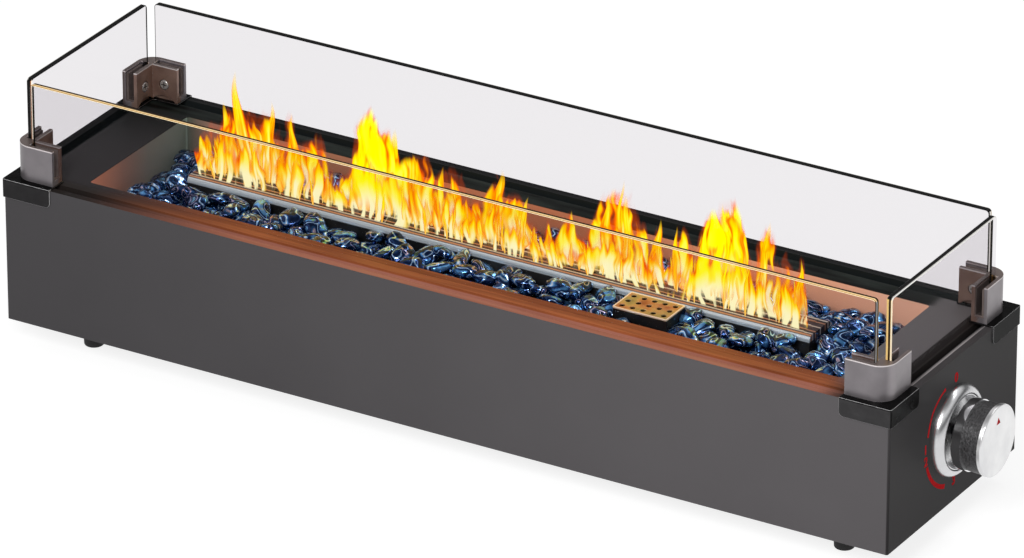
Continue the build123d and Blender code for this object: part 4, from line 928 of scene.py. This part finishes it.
def pane_glass(pane, across, outward, top_reflections, upright_reflections):
    """Clear faces that mirror faintly by angle, and edges with painted reflections striped across, from the
    fire outwards, that also glow faintly as painted light.
    """
    low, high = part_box(pane)
    axis = "XYZ".index(across)
    inner, outer = (low[axis], high[axis]) if outward > 0 else (high[axis], low[axis])
    finish = bpy.data.materials.new("pane_" + pane)
    tree = empty_tree(finish)
    share = scaled(parts(add(tree, "TexCoord", output="Object"))[axis], inner, outer)
    normal = parts(add(tree, "TexCoord", output="Normal"))
    behind = add(tree, "NewGeometry", output="Backfacing")
    rise = normal[2] * (1.0 - behind * 2.0)
    clear = add(tree, "BsdfTransparent", {"Color": PANE_TINT})
    mirror = add(tree, "BsdfGlossy", {"Color": (1, 1, 1, 1), "Roughness": 0.0})
    gloss = add(tree, "LayerWeight", {"Blend": 0.3}, "Facing") ** 3.0 * 0.12 * (1.0 - behind)
    face = add(tree, "MixShader", {"Fac": gloss, 1: clear, 2: mirror})
    edge_reflections = blend(between(rise, 0.3, 0.6), ramp(share, upright_reflections), ramp(share, top_reflections))
    edge_reflections = blend(behind, edge_reflections, "14110e")
    # The edges' painted reflections also glow faintly: painted light, not a lamp.
    edge = add(tree, "BsdfPrincipled", {"Base Color": edge_reflections, "Roughness": 0.2, "Specular IOR Level": 0.1,
                                        "Emission Color": edge_reflections, "Emission Strength": 0.3})
    open_edge = highest(behind * between(share, 0.28, 0.34), between(rise, -0.3, -0.6))
    seen_edge = add(tree, "MixShader", {"Fac": open_edge, 1: edge, 2: clear})
    flat = between(abs(normal[axis]), 0.85, 0.95)
    show(add(tree, "MixShader", {"Fac": flat, 1: seen_edge, 2: face}))
    return finish


for pane, making in PANES.items():
    dress([pane], pane_glass(pane, *making))


# ---- Corner caps: folded steel in gloss black, one round each corner of the housing, with a top and two
# skirts. Their outer edges carry a thin painted grey highlight.

CORNERS = ("front_left", "front_right", "back_left", "back_right")


def right_share(x):
    """0 at the left of the housing and 1 at its right, with a smooth rise over the middle 200 mm."""
    return near(x, MIDDLE_X, -100, 100)


def gloss_black():
    """Deep black gloss on top and, as painted light, a shade paler on the skirts and paler towards the
    right, with painted shade on the skirts at the right end and faint dust in its roughness.
    """
    finish, shader, coords = new_finish("gloss_black", Specular_IOR_Level=0.04)
    x, _, z = parts(coords)
    dust = noise(coords, 120.0, 5.0)
    places = (0.4, 0.8)
    # Painted light: the skirts paler than the top and paler towards the right; painted shade on the right
    # end's skirts.
    left, right = wander(dust, "2e2d2e", "353435", places), wander(dust, "3c3b3c", "454445", places)
    skirt = blend(right_share(x), left, right)
    at_end = near(x, SHELL_HIGH.x, 0.2, 0.7)
    skirt = blend(at_end, skirt, "060606")
    high = near(z, SHELL_HIGH.z, -0.2, 0.3)
    colour = blend(high, skirt, wander(dust, "070707", "121112", places))
    link(shader, Base_Color=colour, Roughness=scaled(dust, 0.0, 1.0, 0.15, 0.35))
    return finish


def highlit_edge():
    """A painted grey highlight on the outer edges, and black on the ones that face the tray."""
    finish, shader, coords = new_finish("black_edge", Roughness=0.25)
    x, y, _ = parts(coords)
    outer = highest(near(abs(x - MIDDLE_X), HALF_X, -1.5, -0.8), near(abs(y - MIDDLE_Y), HALF_Y, -1.5, -0.8))
    # A painted grey highlight on the outer edges.
    edge_highlight = wander(noise(coords, 160.0), "989798", "c8c7c8")
    link(shader, Base_Color=blend(outer, "121112", edge_highlight))
    return finish


black, black_edge = gloss_black(), highlit_edge()
for corner in CORNERS:
    rounded_copy("corner_cap_" + corner, 0.45 * MM, black, black_edge)


# ---- Glass clips: cast aluminium in a satin grey finish, with the fire's light painted brown on the sides that face it.
# Each stands on a corner cap and holds the ends of two panes in its slots.

CLIP_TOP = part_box("glass_clip_front_right")[1].z


def satin_clip():
    """Satin grey with fine cast grain and painted light: paler at the right end and darker at the left, the
    fire's light painted brown inside the glass, a browner grey on top, and a pale highlight at the rim.
    """
    finish, shader, coords = new_finish("satin_clip", Metallic=0.5, Roughness=0.36)
    x, y, z = parts(coords)
    cloud = noise(coords, 70.0, 4.0)
    # Painted light and shade on the end faces: darker at the left end, paler at the right.
    end = blend(right_share(x), "564a48", wander(cloud, "969093", "a49ea1"))
    at_end = near(abs(x - MIDDLE_X), HALF_X, -9, -5.5)
    colour = blend(at_end, wander(cloud, "767174", "827d80"), end)
    # Painted firelight: brown on the faces inside the glass.
    colour = blend(inset(x, y, 11, 14), colour, wander(cloud, "765c52", "947a6e"))
    # A painted pale highlight along the top rim.
    colour = blend(near(z, CLIP_TOP, -1.1, -0.7), colour, "dcd4d4")
    # Painted light on the upward faces: a browner grey.
    normal = parts(add(coords.tree, "TexCoord", output="Normal"))
    colour = blend(between(normal[2], 0.5, 0.8), colour, wander(cloud, "6c605d", "80736f"))
    link(shader, Base_Color=colour)
    bump(shader, noise(coords, 1400.0, 2.0), 0.03 * MM)
    return finish


satin = satin_clip()
# The bevels' finish: a painted pale highlight along the clips' edges.
clip_edge_highlight = cloudy("clip_edge_highlight", "c8c0c0", "ece4e4", 160.0, Metallic=0.1, Roughness=0.35)[0]
for corner in CORNERS:
    rounded_copy("glass_clip_" + corner, 0.5 * MM, satin, clip_edge_highlight)


# ---- Rubber: moulded black feet under the housing, each held by a screw, and the grey silicone channels
# that line the clips' slots.

def moulded_rubber(name, low, high):
    """Matt rubber with a fine mould texture."""
    finish, shader, coords = cloudy(name, low, high, 200.0, 4.0, Roughness=0.7)
    bump(shader, noise(coords, 1200.0, 2.0), 0.05 * MM)
    return finish


dress(["foot_" + corner for corner in CORNERS], moulded_rubber("foot_rubber", "161516", "232223"))
dress(["clip_pads"], moulded_rubber("pad_silicone", "625753", "766a65"))


# ---- Small metal: zinc-plated screws, nuts, pipes and a spring, machined brass, and the cast valve. Most
# of it sits inside the housing or under it; the clips' screws and the gas inlet show.

def plain_metal(name, low, high, roughness, scale, metallic=1.0):
    """Metal whose colour wanders a little, with painted shade down in recesses, and a fine tooled bump."""
    finish, shader, coords = new_finish(name, Metallic=metallic, Roughness=roughness)
    colour = wander(noise(coords, scale, 4.0), low, high)
    # Painted shade down in recesses, found by ambient occlusion.
    reach = {"Distance": 1.5 * MM}
    open_share = add(coords.tree, "AmbientOcclusion", reach, "AO", only_local=True, samples=8)
    link(shader, Base_Color=blend(between(open_share, 0.5, 0.9), "0c0b0a", colour))
    bump(shader, noise(coords, 1800.0, 2.0), 0.02 * MM)
    return finish


dress(["foot_screws", "base_screws", "burner_screws", "burner_nuts", "cap_screws", "valve_screws",
       "mixer_nut", "lead_clips", "valve_spring", "spark_electrode", "thermocouple_probe", "burner_pipe",
       "inlet_pipe"],
      plain_metal("zinc_plate", "8c8c8a", "b0b0ac", 0.28, 150.0))
# The clips' screws: a paler, less metallic copy of the zinc finish, as painted light on screws that sit in
# shaded pockets.
dress(["clip_screws"], plain_metal("bright_screw", "a09c9a", "c8c4c2", 0.3, 150.0, 0.6))
dress(["valve_stem"], plain_metal("dark_steel", "2c2c2e", "444446", 0.35, 150.0))
dress(["gas_jet", "inlet_fitting", "inlet_nut", "pipe_nuts", "valve_plunger"],
      plain_metal("machined_brass", "a98846", "c9a661", 0.26, 120.0))
dress(["gas_valve_body"], plain_metal("cast_valve", "7c7c7e", "969698", 0.5, 90.0))


# ---- Igniter insides: a glazed ceramic sleeve round the spark electrode, and two silicone-sleeved leads
# that run to the valve.

def glazed_ceramic():
    """Cream glaze with faint specks."""
    finish, shader, coords = new_finish("glazed_ceramic", Roughness=0.2, Coat_Weight=0.5)
    link(shader, Base_Color=wander(noise(coords, 800.0, 2.0), "b8b0a0", "e6e0d2", (0.3, 0.45)))
    return finish


dress(["electrode_insulator"], glazed_ceramic())
dress(["spark_lead", "thermocouple_lead"], moulded_rubber("lead_sleeve", "5c1410", "7a1e18"))


# ---- Knob: a chromed dish on the end panel, and on the valve's stem a knob of a bright ring, a hammered
# black grip and a satin disc.

def hammered_black():
    """Dark grey hammered paint: shallow cells in the bump, with their crests painted paler as highlights."""
    finish, shader, coords = new_finish("hammered_black", Roughness=0.42, Metallic=0.2)
    cells = noise(stretched(coords, 1.0, 0.6, 0.6), 900.0, 3.0, 0.5)
    # Painted highlights: the cells' crests are paler.
    link(shader, Base_Color=wander(cells, "232323", "4e4d4f", (0.35, 0.65)))
    bump(shader, cells, 0.5 * MM)
    return finish


for node, name, low, high, roughness, scale in (
    ("knob_bezel", "satin_rim_chrome", "c4c4c6", "dededf", 0.27, 30.0),
    ("knob_base_ring", "bright_chrome", "e8e8ea", "fafafc", 0.07, 30.0),
    ("knob_face", "satin_chrome", "d8d8d9", "e8e8e8", 0.3, 60.0),
):
    dress([node], cloudy(name, low, high, scale, Metallic=1.0, Roughness=roughness)[0])
dress(["knob_grip"], hammered_black())


# ---- Dial print: red marks screen-printed on the end panel round the dish, and a red pointer on the knob's
# face. A thin arc and then a thick one follow the knob's turn, with plain figures at their ends.

BEZEL_LOW, BEZEL_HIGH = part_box("knob_bezel")
_, KNOB_Y, KNOB_Z = (BEZEL_LOW + BEZEL_HIGH) / 2
FACE_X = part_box("knob_face")[1].x
PRINT_THICKNESS = 0.12 * MM
# Each stretch of an arc: first and last angle in degrees, radius and half width in millimetres.
ARCS = (
    (110, 113, 38.5, 38.6, 1.3, 1.3), (113, 140, 38.6, 40.3, 0.7, 0.8), (140, 165, 40.3, 38.8, 0.8, 1.0),
    (198, 253, 40.0, 40.0, 1.4, 1.7),
)
ARC_STEPS = 24
# Each figure: its text, angle in degrees and radius in millimetres.
FIGURES = (("0", 87, 38.5), ("1", 178, 40.5), ("2", 191, 40.5), ("3", 272, 39.5))
FIGURE_SIZE, FIGURE_BOLDNESS = 9.5 * MM, 0.35 * MM
POINTER = ((-2.6, 13.0), (2.6, 13.0), (0.0, 17.6))
POINTER_FACES = [(0, 1, 2), (5, 4, 3), (0, 3, 4, 1), (1, 4, 5, 2), (2, 5, 3, 0)]


def arc_slab(start, end, first_radius, last_radius, first_half, last_half):
    """A thin band along an arc: four edge lines swept through the angles, closed at its ends."""
    share = np.linspace(0, 1, ARC_STEPS)[:, None]
    angle = np.radians(start + (end - start) * share)
    middle = (first_radius + (last_radius - first_radius) * share) * MM
    half = (first_half + (last_half - first_half) * share) * MM
    radius = middle + np.array([[-1, -1, 1, 1]]) * half
    out = SHELL_HIGH.x + np.array([[0, 1, 1, 0]]) * PRINT_THICKNESS + 0 * angle
    return np.stack([out, KNOB_Y + radius * np.cos(angle), KNOB_Z + radius * np.sin(angle)], -1)


def printed(piece, body, ink):
    """Gives a printed piece its ink, slot and body."""
    piece.data.materials.append(ink)
    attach(piece, body)


def dial_figure(figure, degrees, radius):
    """One plain figure as a thin mesh that stands upright on the end panel, at its angle round the dish."""
    text = bpy.data.curves.new("figure_" + figure, "FONT")
    text.body = figure
    text.size = FIGURE_SIZE
    text.extrude = PRINT_THICKNESS / 2
    text.offset = FIGURE_BOLDNESS
    text.align_x = text.align_y = "CENTER"
    holder = bpy.data.objects.new("figure_" + figure, text)
    mesh = bpy.data.meshes.new_from_object(holder)
    bpy.data.objects.remove(holder)
    flat = np.empty(len(mesh.vertices) * 3)
    mesh.vertices.foreach_get("co", flat)
    across, up, out = flat.reshape(-1, 3).T
    angle = math.radians(degrees)
    y = KNOB_Y + radius * MM * math.cos(angle) + across
    z = KNOB_Z + radius * MM * math.sin(angle) + up
    mesh.vertices.foreach_set("co", np.stack([SHELL_HIGH.x + PRINT_THICKNESS / 2 + out, y, z], -1).ravel())
    return put_in_scene("dial_figure_" + figure, mesh)


def knob_pointer():
    """A thin three-sided plate on the knob's face."""
    across, up = np.array(POINTER).T * MM
    front, back = [
        np.column_stack([np.full(3, x), KNOB_Y + across, KNOB_Z + up])
        for x in (FACE_X + PRINT_THICKNESS, FACE_X)
    ]
    return surface_piece("knob_pointer", np.vstack([front, back]), POINTER_FACES)


red_ink = cloudy("printed_red", "d8161e", "f42028", 900.0, Roughness=0.6, Specular_IOR_Level=0.05)[0]
dial_arcs = many_surfaces("dial_arcs", np.stack([arc_slab(*arc) for arc in ARCS]))
printed(dial_arcs, "housing", red_ink)
for figure in FIGURES:
    printed(dial_figure(*figure), "housing", red_ink)
printed(knob_pointer(), "knob", red_ink)
